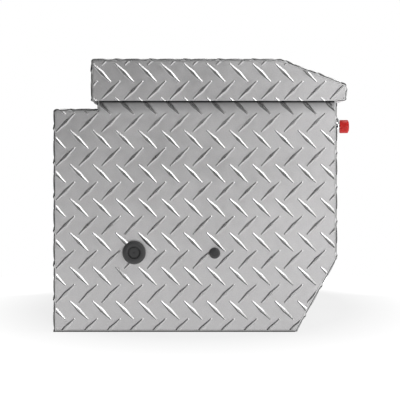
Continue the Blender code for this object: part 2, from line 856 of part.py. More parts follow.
# ---------------------------------------------------------------- latches
def build_button(label, y):
    place = (0.0, y, BUTTON_Z)
    outward = (1, 0, 0)
    head = [
        (0.0, BUTTON_FACE_X),
        (0.6 * BUTTON_RADIUS, BUTTON_FACE_X - 0.0004),
        (0.88 * BUTTON_RADIUS, BUTTON_FACE_X - 0.0014),
        (BUTTON_RADIUS, BUTTON_FACE_X - 0.0036),
        (BUTTON_RADIUS, BUTTON_BACK_X + 0.0008),
        (BUTTON_RADIUS - 0.0008, BUTTON_BACK_X),
        (STEM_RADIUS + GAP, BUTTON_BACK_X),
        (STEM_RADIUS + GAP, BUTTON_BACK_X + BUTTON_SOCKET),
        (0.0, BUTTON_BACK_X + BUTTON_SOCKET),
    ]
    button = turned("release_button_" + label, head, place, outward, RED_PLASTIC, 24)
    stem_start = HOOK_PIVOT_X + 0.0102
    stem = [
        (0.0, BUTTON_BACK_X + BUTTON_SOCKET - GAP),
        (STEM_RADIUS, BUTTON_BACK_X + BUTTON_SOCKET - GAP),
        (STEM_RADIUS, stem_start + 0.005),
        (0.002, stem_start),
        (0.0, stem_start),
    ]
    rod = turned("button_stem_" + label, stem, place, outward, CHROME)
    hold(button, rod)


def build_bushing(label, y):
    """A flanged bushing, swaged through the front wall and the housing, guides the stem."""
    bore = STEM_RADIUS + GAP
    flange_base = HALF_WIDTH + GAP
    inner_end = HALF_WIDTH - BUSHING_REACH
    profile = [
        (bore, flange_base + BUSHING_FLANGE),
        (BUSHING_FLANGE_RADIUS, flange_base + BUSHING_FLANGE),
        (BUSHING_FLANGE_RADIUS, flange_base),
        (BUSHING_RADIUS, flange_base),
        (BUSHING_RADIUS, inner_end),
        (bore, inner_end),
    ]
    place = (0.0, y, BUTTON_Z)
    turned("button_bushing_" + label, profile, place, (1, 0, 0), STEEL, 24, ring=True)


def build_latch_plate(label, y):
    """A raised cover plate round the button, with a bore that the button sinks into."""
    body = box(
        "latch_plate_" + label,
        (HALF_WIDTH + GAP, y - PLATE_HALF_WIDTH, PLATE_LOW_Z),
        (PLATE_FACE_X, y + PLATE_HALF_WIDTH, PLATE_HIGH_Z),
        CHROME,
    )
    edges = body.modifiers.new("edges", "BEVEL")
    edges.width = PLATE_EDGE
    edges.segments = 2
    bore = cylinder(
        "plate_bore_" + label,
        BUTTON_RADIUS + BUTTON_CLEARANCE,
        (HALF_WIDTH - 0.01, y, BUTTON_Z),
        (PLATE_FACE_X + 0.01, y, BUTTON_Z),
        segments=FINE_SEGMENTS,
    )
    return cut(body, bore)


def build_latch_housing(label, y):
    """A channel behind the front wall, with the hook's pin riveted through its two sides."""
    back = HALF_WIDTH - SHEET - GAP
    width = HOUSING_HALF_WIDTH
    profile = [
        (HOOK_PIVOT_X - HOUSING_MARGIN, y - width),
        (back, y - width),
        (back, y + width),
        (HOOK_PIVOT_X - HOUSING_MARGIN, y + width),
    ]
    low = HOOK_PIVOT_Z - HOUSING_MARGIN
    high = BUTTON_Z + 0.032
    name = "latch_housing_" + label
    housing = folded(name, profile, "Z", low, high, ANGLE_SHEET, -1, STEEL)
    bushing_hole = cylinder(
        name + "_bushing_hole",
        BUSHING_RADIUS + 2 * GAP,
        (back - 0.01, y, BUTTON_Z),
        (back + 0.01, y, BUTTON_Z),
        segments=24,
    )
    pin_reach = width + 0.002
    pin = cylinder(
        name + "_pin",
        LATCH_PIN_RADIUS,
        (HOOK_PIVOT_X, y - pin_reach, HOOK_PIVOT_Z),
        (HOOK_PIVOT_X, y + pin_reach, HOOK_PIVOT_Z),
        segments=12,
    )
    cut(housing, bushing_hole)
    return join(housing, pin)


def build_latch_hook(label, y):
    """A lever on the latch pin. Its nose stands just clear of the striker's window."""
    x = HOOK_PIVOT_X
    z = HOOK_PIVOT_Z
    outline = [
        (x - 0.0055, z - 0.0055),
        (x + 0.0055, z - 0.0055),
        (x + 0.0078, z + 0.010),
        (x + 0.0092, z + 0.020),
        (x + 0.0092, z + 0.0315),
        (x + 0.0125, z + 0.0325),
        (x + 0.0125, z + 0.0355),
        (x + 0.0070, z + 0.0430),
        (x + 0.0010, z + 0.0430),
        (x - 0.0045, z + 0.008),
    ]
    name = "latch_hook_" + label
    start = y - HOOK_HALF_WIDTH
    end = y + HOOK_HALF_WIDTH
    hook = plate(name, outline, "Y", start, end, STEEL, [(x, z, LATCH_PIN_RADIUS + 0.0004)])
    pivot = add_empty("hook_pivot_" + label, (x, y, z))
    hold(pivot, hook)


def build_latch_spring(label, y):
    """A torsion spring round the latch pin, beside the hook, with both legs up behind it."""
    radius = 0.0036
    turns = 3
    steps = 10
    pitch = 0.0018
    start_y = 0.0068
    points = [(radius, start_y, 0.018)]
    for i in range(turns * steps + 1):
        turn = math.tau * i / steps
        y_here = start_y + pitch * i / steps
        points.append((radius * math.cos(turn), y_here, -radius * math.sin(turn)))
    points.append((radius, start_y + pitch * turns, 0.014))
    curve = bpy.data.curves.new("latch_spring", "CURVE")
    curve.dimensions = "3D"
    curve.bevel_depth = 0.0006
    curve.bevel_resolution = 1
    curve.use_fill_caps = True
    spline = curve.splines.new("POLY")
    spline.points.add(len(points) - 1)
    for point, place in zip(spline.points, points):
        point.co = (*place, 1.0)
    spring = add_object("latch_spring_" + label, curve, STEEL)
    spring.location = (HOOK_PIVOT_X, y, HOOK_PIVOT_Z)


def build_striker(label, y):
    foot = pan_bottom() - GAP
    leg_x = HOOK_PIVOT_X + 0.0151
    profile = [(leg_x - 0.022, foot), (leg_x, foot), (leg_x, HOOK_PIVOT_Z + 0.0255)]
    name = "latch_striker_" + label
    start = y - STRIKER_HALF_WIDTH
    end = y + STRIKER_HALF_WIDTH
    striker = folded(name, profile, "Y", start, end, STRIKER_SHEET, 1, STEEL)
    window = box(
        name + "_window",
        (leg_x - 0.01, y - 0.007, HOOK_PIVOT_Z + 0.0300),
        (leg_x + 0.01, y + 0.007, HOOK_PIVOT_Z + 0.0385),
    )
    return cut(striker, window)


# ---------------------------------------------------------------- gas struts
def build_strut(label, sign):
    """Cylinder and rod on one line from the foot stud to a point beside the lid stud."""
    foot = Vector((STRUT_FOOT_X, sign * STRUT_Y, STRUT_FOOT_Z))
    head = Vector((STRUT_HEAD_X, sign * STRUT_Y, STRUT_HEAD_Z))
    along = (head - foot).normalized()
    length = (head - foot).length
    wall = sign * (HALF_LENGTH - SHEET - GAP)
    reach = abs(wall) - STRUT_Y + STRUT_EYE_WIDTH / 2 + 0.002
    stud = [
        (0.0, reach),
        (STRUT_STUD_RADIUS, reach),
        (STRUT_STUD_RADIUS, STUD_FLANGE),
        (STUD_FLANGE_RADIUS, STUD_FLANGE),
        (STUD_FLANGE_RADIUS, 0.0),
        (0.0, 0.0),
    ]
    place = (foot.x, wall, foot.z)
    turned("strut_foot_stud_" + label, stud, place, (0, -sign, 0), STEEL)

    eye_half = Vector((0.0, STRUT_EYE_WIDTH / 2, 0.0))
    bore_half = Vector((0.0, STRUT_EYE_WIDTH, 0.0))

    tube_end = 0.72 * length
    tube = [
        (0.0, 0.024),
        (STRUT_ROD_RADIUS + GAP, 0.024),
        (STRUT_ROD_RADIUS + GAP, tube_end),
        (STRUT_TUBE_RADIUS - 0.001, tube_end),
        (STRUT_TUBE_RADIUS, tube_end - 0.001),
        (STRUT_TUBE_RADIUS, 0.014),
        (0.005, 0.011),
        (0.005, 0.004),
        (0.0, 0.004),
    ]
    body = turned("strut_cylinder_" + label, tube, foot, along, BLACK_PAINT)
    eye = cylinder(
        label + "_foot_eye", STRUT_EYE_RADIUS, foot - eye_half, foot + eye_half, segments=20
    )
    hole = cylinder(
        label + "_foot_hole", STRUT_EYE_BORE, foot - bore_half, foot + bore_half, segments=20
    )
    cut(join(body, eye), hole)

    rod = cylinder(
        "strut_rod_" + label, STRUT_ROD_RADIUS, foot + along * 0.030, head - along * 0.006, CHROME
    )
    eye = cylinder(
        label + "_head_eye", STRUT_EYE_RADIUS, head - eye_half, head + eye_half, segments=20
    )
    hole = cylinder(
        label + "_head_hole", STRUT_EYE_BORE, head - bore_half, head + bore_half, segments=20
    )
    cut(join(rod, eye), hole)
    return build_lid_stud(label, sign, head)


def build_lid_stud(label, sign, head):
    """A bracket under the lid pan whose stud stops short of the rod's eye."""
    top = pan_bottom() - GAP
    web_y = sign * (STRUT_Y - 0.014)
    profile = [(web_y - sign * 0.018, top), (web_y, top), (web_y, head.z - 0.008)]
    bracket = folded(
        "strut_lid_stud_" + label,
        profile,
        "X",
        head.x - 0.012,
        head.x + 0.012,
        STUD_FLANGE,
        sign,
        STEEL,
    )
    stud_end = sign * (STRUT_Y - STRUT_EYE_WIDTH / 2 - 0.001)
    stud = cylinder(
        label + "_lid_pin",
        STRUT_STUD_RADIUS,
        (head.x, web_y - sign * 0.001, head.z),
        (head.x, stud_end, head.z),
    )
    return join(bracket, stud)


# ---------------------------------------------------------------- assembly
def build():
    clear_scene()
    build_front_skin()
    build_rear_skin()
    build_end_panels()
    build_rim_angles()
    build_deck()
    build_rim_seal()
    build_vessel()
    build_filler_cap()
    build_vent_cap()
    build_level_sender()
    build_float()
    build_port("outlet", OUTLET)
    build_port("aux", AUX)
    lid_pieces = [*build_lid(), build_hinge()]
    for label, y in LATCH_YS.items():
        build_button(label, y)
        build_bushing(label, y)
        build_latch_plate(label, y)
        build_latch_housing(label, y)
        build_latch_hook(label, y)
        build_latch_spring(label, y)
        lid_pieces.append(build_striker(label, y))
    for label, sign in (("left", -1), ("right", 1)):
        lid_pieces.append(build_strut(label, sign))
    lid_pivot = add_empty("lid_pivot", (HINGE_X, 0.0, HINGE_Z))
    hold(lid_pivot, *lid_pieces)


build()
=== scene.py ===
"""The finished look of the fresh water tank: tread-plate skins with real raised lugs, the
fittings in the end panel, the two push-button latches, and what is under the lid.

Metres, +Z up. +X is the front, with the release buttons. The length runs along Y.
"""

import math

import bmesh
import bpy
import numpy as np
from mathutils import Matrix, Vector
from mathutils.geometry import delaunay_2d_cdt


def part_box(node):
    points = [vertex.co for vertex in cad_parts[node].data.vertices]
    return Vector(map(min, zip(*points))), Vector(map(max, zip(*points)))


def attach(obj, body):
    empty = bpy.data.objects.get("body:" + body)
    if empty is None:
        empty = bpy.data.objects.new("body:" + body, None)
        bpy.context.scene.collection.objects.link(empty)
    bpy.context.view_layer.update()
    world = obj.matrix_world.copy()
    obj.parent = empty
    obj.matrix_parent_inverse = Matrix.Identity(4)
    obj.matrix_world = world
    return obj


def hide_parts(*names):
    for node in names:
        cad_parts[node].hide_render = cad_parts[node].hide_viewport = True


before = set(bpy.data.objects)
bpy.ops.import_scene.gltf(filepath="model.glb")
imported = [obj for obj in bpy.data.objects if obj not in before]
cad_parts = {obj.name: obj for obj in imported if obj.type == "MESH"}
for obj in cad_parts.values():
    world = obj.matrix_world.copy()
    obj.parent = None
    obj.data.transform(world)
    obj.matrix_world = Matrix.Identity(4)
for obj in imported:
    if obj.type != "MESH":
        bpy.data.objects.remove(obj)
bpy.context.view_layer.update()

# ---------------------------------------------------------------- tread pattern
# Lugs that lean back and lugs that lean forward stand in turn, up and across the sheet.
LUG_SPACING = (0.04104, 0.06156)
LEANING_OFFSET = (0.0168, -0.0317)
LUG_LEAN = math.radians(45)
LUG_HALF_LENGTH = 0.0238
LUG_HALF_WIDTH = 0.0040
LUG_TAPER = 0.0385
LUG_HEIGHT = 0.0022
LUG_RISE = 0.0033
LUG_END_SLOPE = 0.8
FADE = 0.0008

SHEET = 0.003
GAP = 0.0003
BEND_STEPS = 5
SAME_POINT = 1e-6
NO_AREA = 1e-12
EASED_EDGE = 0.0014
EASED_STEPS = (0.0, 0.3, 0.55, 0.75, 0.9, 0.975)


# ---------------------------------------------------------------- reading the frame
def low(node):
    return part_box(node)[0]


def high(node):
    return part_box(node)[1]


def middle(node):
    return (low(node) + high(node)) / 2


def half_size(node, axis):
    return (high(node)[axis] - low(node)[axis]) / 2


def corner_points(node):
    return np.array([vertex.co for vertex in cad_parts[node].data.vertices])


def reach(node, axis, near_axis, near_value, highest=True):
    """How far a node reaches along an axis, among its points at a value of another axis."""
    points = corner_points(node)
    near = points[np.abs(points[:, near_axis] - near_value) < 0.0002]
    return float(near[:, axis].max() if highest else near[:, axis].min())


# ---------------------------------------------------------------- mesh helpers
def add_mesh(name, vertices, faces, body, slot, materials):
    mesh = bpy.data.meshes.new(name)
    mesh.from_pydata([tuple(v) for v in vertices], [], faces)
    for material in materials:
        mesh.materials.append(material)
    obj = bpy.data.objects.new(name, mesh)
    bpy.context.scene.collection.objects.link(obj)
    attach(obj, body)
    return obj


def smooth(obj, degrees=30):
    obj.data.shade_smooth()
    obj.data.set_sharp_from_angle(angle=math.radians(degrees))


# ---------------------------------------------------------------- raised lugs
def lug_height(along, across):
    """Four sloping sides, a flat top and two blunt ends."""
    sides = LUG_RISE * (1 - np.abs(along) / LUG_TAPER - np.abs(across) / LUG_HALF_WIDTH)
    ends = LUG_END_SLOPE * (LUG_HALF_LENGTH - np.abs(along))
    return np.clip(np.minimum(np.minimum(sides, ends), LUG_HEIGHT), 0, None)


def lug_lines():
    """The creases of one lug in its own (along, across) axes, as points and pairs."""
    top = 1 - LUG_HEIGHT / LUG_RISE
    top_end = LUG_TAPER * top
    top_side = LUG_HALF_WIDTH * top
    blunt = LUG_HALF_WIDTH * (1 - LUG_HALF_LENGTH / LUG_TAPER)
    ridge = (LUG_END_SLOPE * LUG_HALF_LENGTH - LUG_RISE) / (LUG_END_SLOPE - LUG_RISE / LUG_TAPER)
    points = [(0.0, LUG_HALF_WIDTH), (0.0, -LUG_HALF_WIDTH), (0.0, top_side), (0.0, -top_side)]
    for way in (1, -1):
        points += [
            (way * LUG_HALF_LENGTH, blunt),
            (way * LUG_HALF_LENGTH, -blunt),
            (way * ridge, 0.0),
            (way * top_end, 0.0),
        ]
    pairs = [(0, 2), (1, 3)]
    for first in (4, 8):
        end_a, end_b, ridge_end, top_corner = range(first, first + 4)
        pairs += [(0, end_a), (end_a, end_b), (end_b, 1), (end_a, ridge_end)]
        pairs += [(end_b, ridge_end), (ridge_end, top_corner), (top_corner, 2), (top_corner, 3)]
    return points, pairs


def lugs_on(first, low_corner, high_corner, spacing=LUG_SPACING, offset=LEANING_OFFSET):
    """(u, v, lean) of each lug of the pattern whose first lug is at a point."""
    margin = LUG_HALF_LENGTH
    found = []
    for shift, lean in (((0.0, 0.0), -1), (offset, 1)):
        start = [first[i] + shift[i] for i in (0, 1)]
        spans = []
        for i in (0, 1):
            least = math.ceil((low_corner[i] - margin - start[i]) / spacing[i])
            most = math.floor((high_corner[i] + margin - start[i]) / spacing[i])
            spans.append([start[i] + k * spacing[i] for k in range(least, most + 1)])
        found += [(u, v, lean) for u in spans[0] for v in spans[1]]
    return found


def inside(points, ring):
    """Which points lie inside a closed ring."""
    ring = np.asarray(ring)
    after = np.roll(ring, -1, axis=0)
    x, y = points[:, 0][:, None], points[:, 1][:, None]
    crosses = (ring[:, 1] > y) != (after[:, 1] > y)
    rise = after[:, 1] - ring[:, 1]
    rise = np.where(rise == 0, 1e-12, rise)
    at = ring[:, 0] + (y - ring[:, 1]) / rise * (after[:, 0] - ring[:, 0])
    return (crosses & (x < at)).sum(axis=1) % 2 == 1


def circle_ring(centre, radius, count=48):
    turns = np.arange(count) * math.tau / count
    return np.stack([centre[0] + radius * np.cos(turns), centre[1] + radius * np.sin(turns)], 1)


class Lines:
    """Flat points, and the pairs of them that an edge has to join."""

    def __init__(self):
        self.points = []
        self.pairs = []

    def add(self, points, pairs):
        start = len(self.points)
        self.points.extend(tuple(p) for p in points)
        self.pairs.extend((start + a, start + b) for a, b in pairs)

    def add_ring(self, ring):
        self.add(ring, [(i, (i + 1) % len(ring)) for i in range(len(ring))])

    def triangulate(self, outline, holes):
        """Constrained triangles over an outline less its holes."""
        made = delaunay_2d_cdt([Vector(p) for p in self.points], self.pairs, [], 0, SAME_POINT, False)
        found = np.array([tuple(v) for v in made[0]])
        triangles = np.array([face for face in made[2] if len(face) == 3])
        centres = found[triangles].mean(axis=1)
        kept = inside(centres, outline)
        for ring in holes:
            kept &= ~inside(centres, ring)
        triangles = triangles[kept]
        a, b, c = (found[triangles[:, i]] for i in range(3))
        area = (b[:, 0] - a[:, 0]) * (c[:, 1] - a[:, 1]) - (b[:, 1] - a[:, 1]) * (c[:, 0] - a[:, 0])
        triangles = triangles[np.abs(area) > NO_AREA]
        area = area[np.abs(area) > NO_AREA]
        triangles[area < 0] = triangles[area < 0][:, ::-1]
        return found, triangles


def rim_edges(triangles):
    """The directed edges that only one triangle has."""
    edges = np.concatenate([triangles[:, [0, 1]], triangles[:, [1, 2]], triangles[:, [2, 0]]])
    have = {tuple(edge) for edge in edges.tolist()}
    return [edge for edge in have if edge[::-1] not in have]


def compact(triangles):
    """The points that triangles use, and the triangles renumbered to those."""
    used, triangles = np.unique(triangles, return_inverse=True)
    return used, triangles.reshape(-1, 3)


def tread_sheet(name, place, outline, lugs, body, replaced, lines=(), holes=(), flats=(), dip=None):
    """A sheet with lugs on its outer face and a smooth back. place(points, height) folds flat
    (u, v) points at a height over the outer face. Lugs fade out in the flats, which are
    rectangles (u, v, u, v), and dip(points) lowers the face, as at an eased edge."""
    drawn = Lines()
    for ring in (outline, *holes):
        drawn.add_ring(ring)
    for line in lines:
        drawn.add(line, [(0, 1)])
    for u0, v0, u1, v1 in flats:
        for grow in (0.0, FADE):
            drawn.add_ring([(u0 - grow, v0 - grow), (u1 + grow, v0 - grow),
                            (u1 + grow, v1 + grow), (u0 - grow, v1 + grow)])
    creases, crease_pairs = lug_lines()
    for u, v, lean in lugs:
        c, s = math.cos(lean * LUG_LEAN), math.sin(lean * LUG_LEAN)
        drawn.add([(u + along * c - across * s, v + along * s + across * c)
                   for along, across in creases], crease_pairs)
    flat, triangles = drawn.triangulate(outline, holes)
    height = raised(flat, lugs, flats)
    front_height = height - (dip(flat) if dip else 0.0)

    rim = rim_edges(triangles)
    order = list(dict.fromkeys(i for edge in rim for i in edge))
    back_index = {point: i for i, point in enumerate(order)}
    drawn = Lines()
    drawn.add(flat[order], [(back_index[a], back_index[b]) for a, b in rim])
    for line in lines:
        drawn.add(line, [(0, 1)])
    back_flat, back_triangles = drawn.triangulate(outline, holes)
    nearest = {tuple(np.round(p, 6)): i for i, p in enumerate(back_flat)}

    used, triangles = compact(triangles)
    renumbered = {old: new for new, old in enumerate(used.tolist())}
    front = place(flat[used], front_height[used])
    back = place(back_flat, np.full(len(back_flat), -SHEET))
    count = len(front)
    faces = [tuple(t) for t in triangles.tolist()]
    faces += [(count + c, count + b, count + a) for a, b, c in back_triangles.tolist()]
    for a, b in rim:
        far_a, far_b = (nearest[tuple(np.round(flat[i], 6))] for i in (a, b))
        faces.append((renumbered[b], renumbered[a], count + far_a, count + far_b))
    obj = add_mesh(name, np.concatenate([front, back]), faces, body, "tread_plate",
                   LID_LOOKS if body == "lid" else CASING_LOOKS)
    kinds = [0] * len(triangles) + [1] * len(back_triangles) + [2] * len(rim)
    if dip:
        eased = dip(flat[used][triangles].mean(axis=1)) > 0
        kinds[:len(triangles)] = np.where(eased, 3, 0).tolist()
    obj.data.polygons.foreach_set("material_index", kinds)
    wear = np.zeros(len(front) + len(back), np.float32)
    wear[:count] = height[used] / LUG_HEIGHT
    obj.data.attributes.new("wear", "FLOAT", "POINT").data.foreach_set("value", wear)
    smooth(obj, 21)
    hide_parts(*replaced)


def raised(flat, lugs, flats):
    """The height of the lugs at flat points."""
    height = np.zeros(len(flat))
    for u, v, lean in lugs:
        near = np.nonzero((np.abs(flat[:, 0] - u) < LUG_HALF_LENGTH)
                          & (np.abs(flat[:, 1] - v) < LUG_HALF_LENGTH))[0]
        turn = lean * LUG_LEAN
        du, dv = flat[near, 0] - u, flat[near, 1] - v
        along = du * math.cos(turn) + dv * math.sin(turn)
        across = -du * math.sin(turn) + dv * math.cos(turn)
        height[near] = np.maximum(height[near], lug_height(along, across))
    for u0, v0, u1, v1 in flats:
        outside = np.maximum.reduce([u0 - flat[:, 0], flat[:, 0] - u1,
                                     v0 - flat[:, 1], flat[:, 1] - v1])
        height *= np.clip(outside / FADE, 0, 1)
    return height


def left_of(way):
    return Vector((-way.y, way.x))


def corner_ways(ring, i):
    """The ways into and out of a corner, and the turn between them."""
    here = Vector(ring[i])
    before = (here - Vector(ring[i - 1])).normalized()
    after = (Vector(ring[(i + 1) % len(ring)]) - here).normalized()
    return before, after, math.atan2(before.x * after.y - before.y * after.x, before.dot(after))


class Fold:
    """The outer face of a bent sheet, unrolled from a profile in the XZ plane. The outside is
    to the left of the profile's way, and each bend is an arc."""

    def __init__(self, corners, radii):
        corners = [Vector(c) for c in corners]
        places = [corners[0]]
        normals = [left_of((corners[1] - corners[0]).normalized())]
        self.bends = []
        for i, radius in enumerate(radii, 1):
            before, _, turn = corner_ways(corners, i)
            side = -1 if turn < 0 else 1
            centre = (corners[i] - before * radius * math.tan(abs(turn) / 2)
                      + side * left_of(before) * radius)
            self.bends.append(range(len(places), len(places) + BEND_STEPS + 1))
            for step in range(BEND_STEPS + 1):
                normal = Matrix.Rotation(turn * step / BEND_STEPS, 2) @ left_of(before)
                places.append(centre - side * normal * radius)
                normals.append(normal)
        places.append(corners[-1])
        normals.append(left_of((corners[-1] - corners[-2]).normalized()))
        self.places = np.array([tuple(p) for p in places])
        self.normals = np.array([tuple(n) for n in normals])
        steps = np.linalg.norm(np.diff(self.places, axis=0), axis=1)
        self.along = np.concatenate([[0.0], np.cumsum(steps)])
        self.length = float(self.along[-1])

    def place(self, points, height):
        """Folded positions of flat (u, v) points, with v along Y."""
        u = points[:, 0]
        spot = [np.interp(u, self.along, self.places[:, i]) for i in (0, 1)]
        normal = np.stack([np.interp(u, self.along, self.normals[:, i]) for i in (0, 1)], 1)
        normal /= np.linalg.norm(normal, axis=1)[:, None]
        return np.stack([spot[0] + normal[:, 0] * height, points[:, 1],
                         spot[1] + normal[:, 1] * height], 1)

    def bend_lines(self, v0, v1):
        return [((self.along[i], v0), (self.along[i], v1)) for bend in self.bends for i in bend]

    def straight_start(self, i):
        """Where the i-th straight run starts."""
        return 0.0 if i == 0 else float(self.along[self.bends[i - 1][-1]])


# ---------------------------------------------------------------- materials
SHEET_METAL = 0.85
SHEET_ROUGH = (0.37, 0.46)
SHEET_LIGHT = (0.875, 0.855, 0.865)
SHEET_DULL = (0.775, 0.755, 0.765)
# Near-black for the painted contact shade next to the floor.
FLOOR_CONTACT_SHADE = (0.03, 0.03, 0.03)


def grey(level):
    return (level, level, level)


class Nodes:
    """Makes shader nodes in a tree. An input is a number, a colour or another node's output."""

    def __init__(self, tree):
        self.tree = tree

    def put(self, socket, value):
        if isinstance(value, bpy.types.NodeSocket):
            self.tree.links.new(value, socket)
        elif socket.type == "RGBA":
            socket.default_value = (*value, 1.0)
        else:
            socket.default_value = value

    def node(self, kind, inputs, **settings):
        """The outputs of a new node. Inputs go by name or by number."""
        made = self.tree.nodes.new("ShaderNode" + kind)
        for key, value in settings.items():
            setattr(made, key, value)
        for socket, value in inputs.items():
            self.put(made.inputs[socket], value)
        return made.outputs

    def math(self, operation, a, b):
        return self.node("Math", {0: a, 1: b}, operation=operation)["Value"]


class Looks(Nodes):
    """A Principled material that is put together from noise, ramps and bumps."""

    def __init__(self, name, **sockets):
        self.material = bpy.data.materials.new(name)
        self.material.use_nodes = True
        super().__init__(self.material.node_tree)
        self.object_space = self.node("TexCoord", {})["Object"]
        self.set(**sockets)

    def set(self, **sockets):
        for socket, value in sockets.items():
            shader = self.tree.nodes["Principled BSDF"]
            self.put(shader.inputs[socket.replace("_", " ")], value)

    def space(self, stretch):
        if stretch is None:
            return self.object_space
        return self.node("Mapping", {"Vector": self.object_space, "Scale": stretch})["Vector"]

    def noise(self, scale, detail=4.0, rough=0.6, stretch=None):
        inputs = {"Vector": self.space(stretch), "Scale": scale, "Detail": detail, "Roughness": rough}
        return self.node("TexNoise", inputs)["Fac"]

    def cells(self, scale, stretch=None):
        """Distances to the middles of cells, or to their borders where they are stretched."""
        return self.node("TexVoronoi", {"Vector": self.space(stretch), "Scale": scale},
                         feature="DISTANCE_TO_EDGE" if stretch else "F1")["Distance"]

    def height(self):
        """The height above the floor, with the object at rest."""
        return self.node("SeparateXYZ", {0: self.object_space})["Z"]

    def ramp(self, source, low_at, high_at, low_value=0.0, high_value=1.0):
        """The source's range mapped to another."""
        return self.node("MapRange", {"Value": source, "From Min": low_at, "From Max": high_at,
                                      "To Min": low_value, "To Max": high_value})["Result"]

    def mix(self, factor, a, b):
        """Two colours mixed, with the sockets that a mix of colours uses."""
        return self.node("Mix", {0: factor, 6: a, 7: b}, data_type="RGBA")[2]

    def blend(self, source, low_at, high_at, a, b, most=1.0):
        """Colour a, mixed towards colour b over the source's range."""
        return self.mix(self.ramp(source, low_at, high_at, 0.0, most), a, b)

    def worn(self, base, amount, colour, low_at=0.50, high_at=0.56):
        """A base that takes on another colour on convex edges."""
        edges = self.ramp(self.node("NewGeometry", {})["Pointiness"], low_at, high_at)
        return self.mix(self.math("MULTIPLY", edges, amount), base, colour)

    def finish(self, base, rough, *bumps):
        """Sets the colour and roughness, and lays bumps of (source, strength, distance)."""
        normal = {}
        for source, strength, distance in bumps:
            inputs = {"Height": source, "Strength": strength, "Distance": distance, **normal}
            normal = {"Normal": self.node("Bump", inputs)["Normal"]}
        self.set(Base_Color=base, Roughness=rough, **normal)
        return self.material


def rolled_aluminium(name, lugs, lid_shade_band=None):
    """Satin rolled sheet: faint clouds, a fine tooth, thin scratches, and painted shade on the
    lugs' flanks. With a band of heights whose top is the lid's lower edge, it gets a painted
    shadow under the lid and painted contact shade next to the floor."""
    looks = Looks(name, Metallic=SHEET_METAL)
    clouds = looks.noise(9.0)
    mottle = looks.noise(70.0)
    speckle = looks.noise(650.0, 3.0, 0.7)
    base = looks.blend(clouds, 0.3, 0.7, SHEET_DULL, SHEET_LIGHT)
    base = looks.mix(0.25, base, looks.blend(mottle, 0.35, 0.65, grey(0.70), grey(0.86)))
    base = looks.mix(0.40, base, looks.blend(speckle, 0.35, 0.65, grey(0.66), grey(0.90)))
    rough = looks.ramp(looks.math("ADD", clouds, mottle), 0.7, 1.3, *SHEET_ROUGH)
    scratches = looks.ramp(looks.cells(140.0, stretch=(0.25, 1.0, 0.7)), 0.0, 0.012, 1.0, 0.0)
    rough = looks.math("SUBTRACT", rough, looks.math("MULTIPLY", scratches, 0.06))
    if lugs:
        wear = looks.node("Attribute", {}, attribute_name="wear")["Fac"]
        side = looks.ramp(wear, 0.02, 0.30)
        top = looks.ramp(wear, 0.8, 1.0)
        # Lug flanks painted darker, with a darker specular tint, to tone down the floor they reflect:
        # painted shade.
        base = looks.mix(looks.math("MULTIPLY", side, 0.7), base, grey(0.62))
        # Flanks facing down, most of all those facing down and left, painted near-black: painted shade on
        # the side turned away from the key lamp.
        facing = looks.node("SeparateXYZ", {0: looks.node("TexCoord", {})["Normal"]})
        under = looks.math("MULTIPLY", looks.ramp(facing["Z"], -0.45, -0.1, 0.9, 0.0),
                           looks.ramp(facing["X"], -0.3, 0.3, 1.0, 0.1))
        base = looks.mix(looks.math("MULTIPLY", side, under), base, grey(0.10))
        looks.set(Specular_Tint=looks.mix(side, grey(1.0), grey(0.12)))
        for mask, smoother in ((side, 0.12), (top, 0.05)):
            rough = looks.math("SUBTRACT", rough, looks.math("MULTIPLY", mask, smoother))
    if lid_shade_band:
        height = looks.height()
        # Painted shadow under the lid's overhang: darkest at the lid's lower edge, fading out over the
        # band below it.
        reached = looks.math("POWER", looks.ramp(height, *lid_shade_band, 1.0, 0.0), 0.5)
        base = looks.mix(looks.ramp(reached, 0.0, 1.0, 0.94, 0.0), base, (0.05, 0.05, 0.052))
        # A near-black line just below the lid's edge, with its specular turned off: painted shadow in the
        # gap under the lid.
        lip = looks.ramp(height, lid_shade_band[1] - 0.0045, lid_shade_band[1] - 0.0015, 0.0, 0.95)
        base = looks.mix(lip, base, (0.015, 0.015, 0.016))
        # Painted contact shade in the lowest few millimetres next to the floor.
        base = looks.mix(looks.ramp(height, 0.0033, 0.0048, 0.4, 0.0), base, FLOOR_CONTACT_SHADE)
        looks.set(Specular_IOR_Level=looks.ramp(lip, 0.0, 1.0, 0.5, 0.0))
    return looks.finish(base, rough, (speckle, 0.15, 0.0002), (mottle, 0.06, 0.0005))


def cut_aluminium(name, dark, light, rough):
    """A sheared sheet edge, with shear lines across it and painted contact shade next to the floor."""
    looks = Looks(name, Metallic=0.9)
    lines = looks.noise(500.0, 3.0)
    base = looks.blend(lines, 0.3, 0.7, grey(dark), grey(light))
    # Painted contact shade in the lowest few millimetres next to the floor.
    base = looks.mix(looks.ramp(looks.height(), 0.0015, 0.0034, 0.85, 0.0), base, FLOOR_CONTACT_SHADE)
    return looks.finish(base, looks.ramp(lines, 0.3, 0.7, rough, rough + 0.1), (lines, 0.25, 0.0002))


LID_LOOKS = [
    rolled_aluminium("lid_tread_aluminium", lugs=True),
    rolled_aluminium("sheet_back_aluminium", lugs=False),
    cut_aluminium("cut_aluminium", 0.80, 0.95, 0.36),
    # The eased edges are near-black: painted shade for the dark line along the sheets' outer edges.
    cut_aluminium("eased_aluminium", 0.05, 0.12, 0.30),
]
CASING_LOOKS = [
    rolled_aluminium("casing_tread_aluminium", lugs=True,
                     lid_shade_band=(low("lid_skin").z - 0.022, low("lid_skin").z)),
    *LID_LOOKS[1:],
]


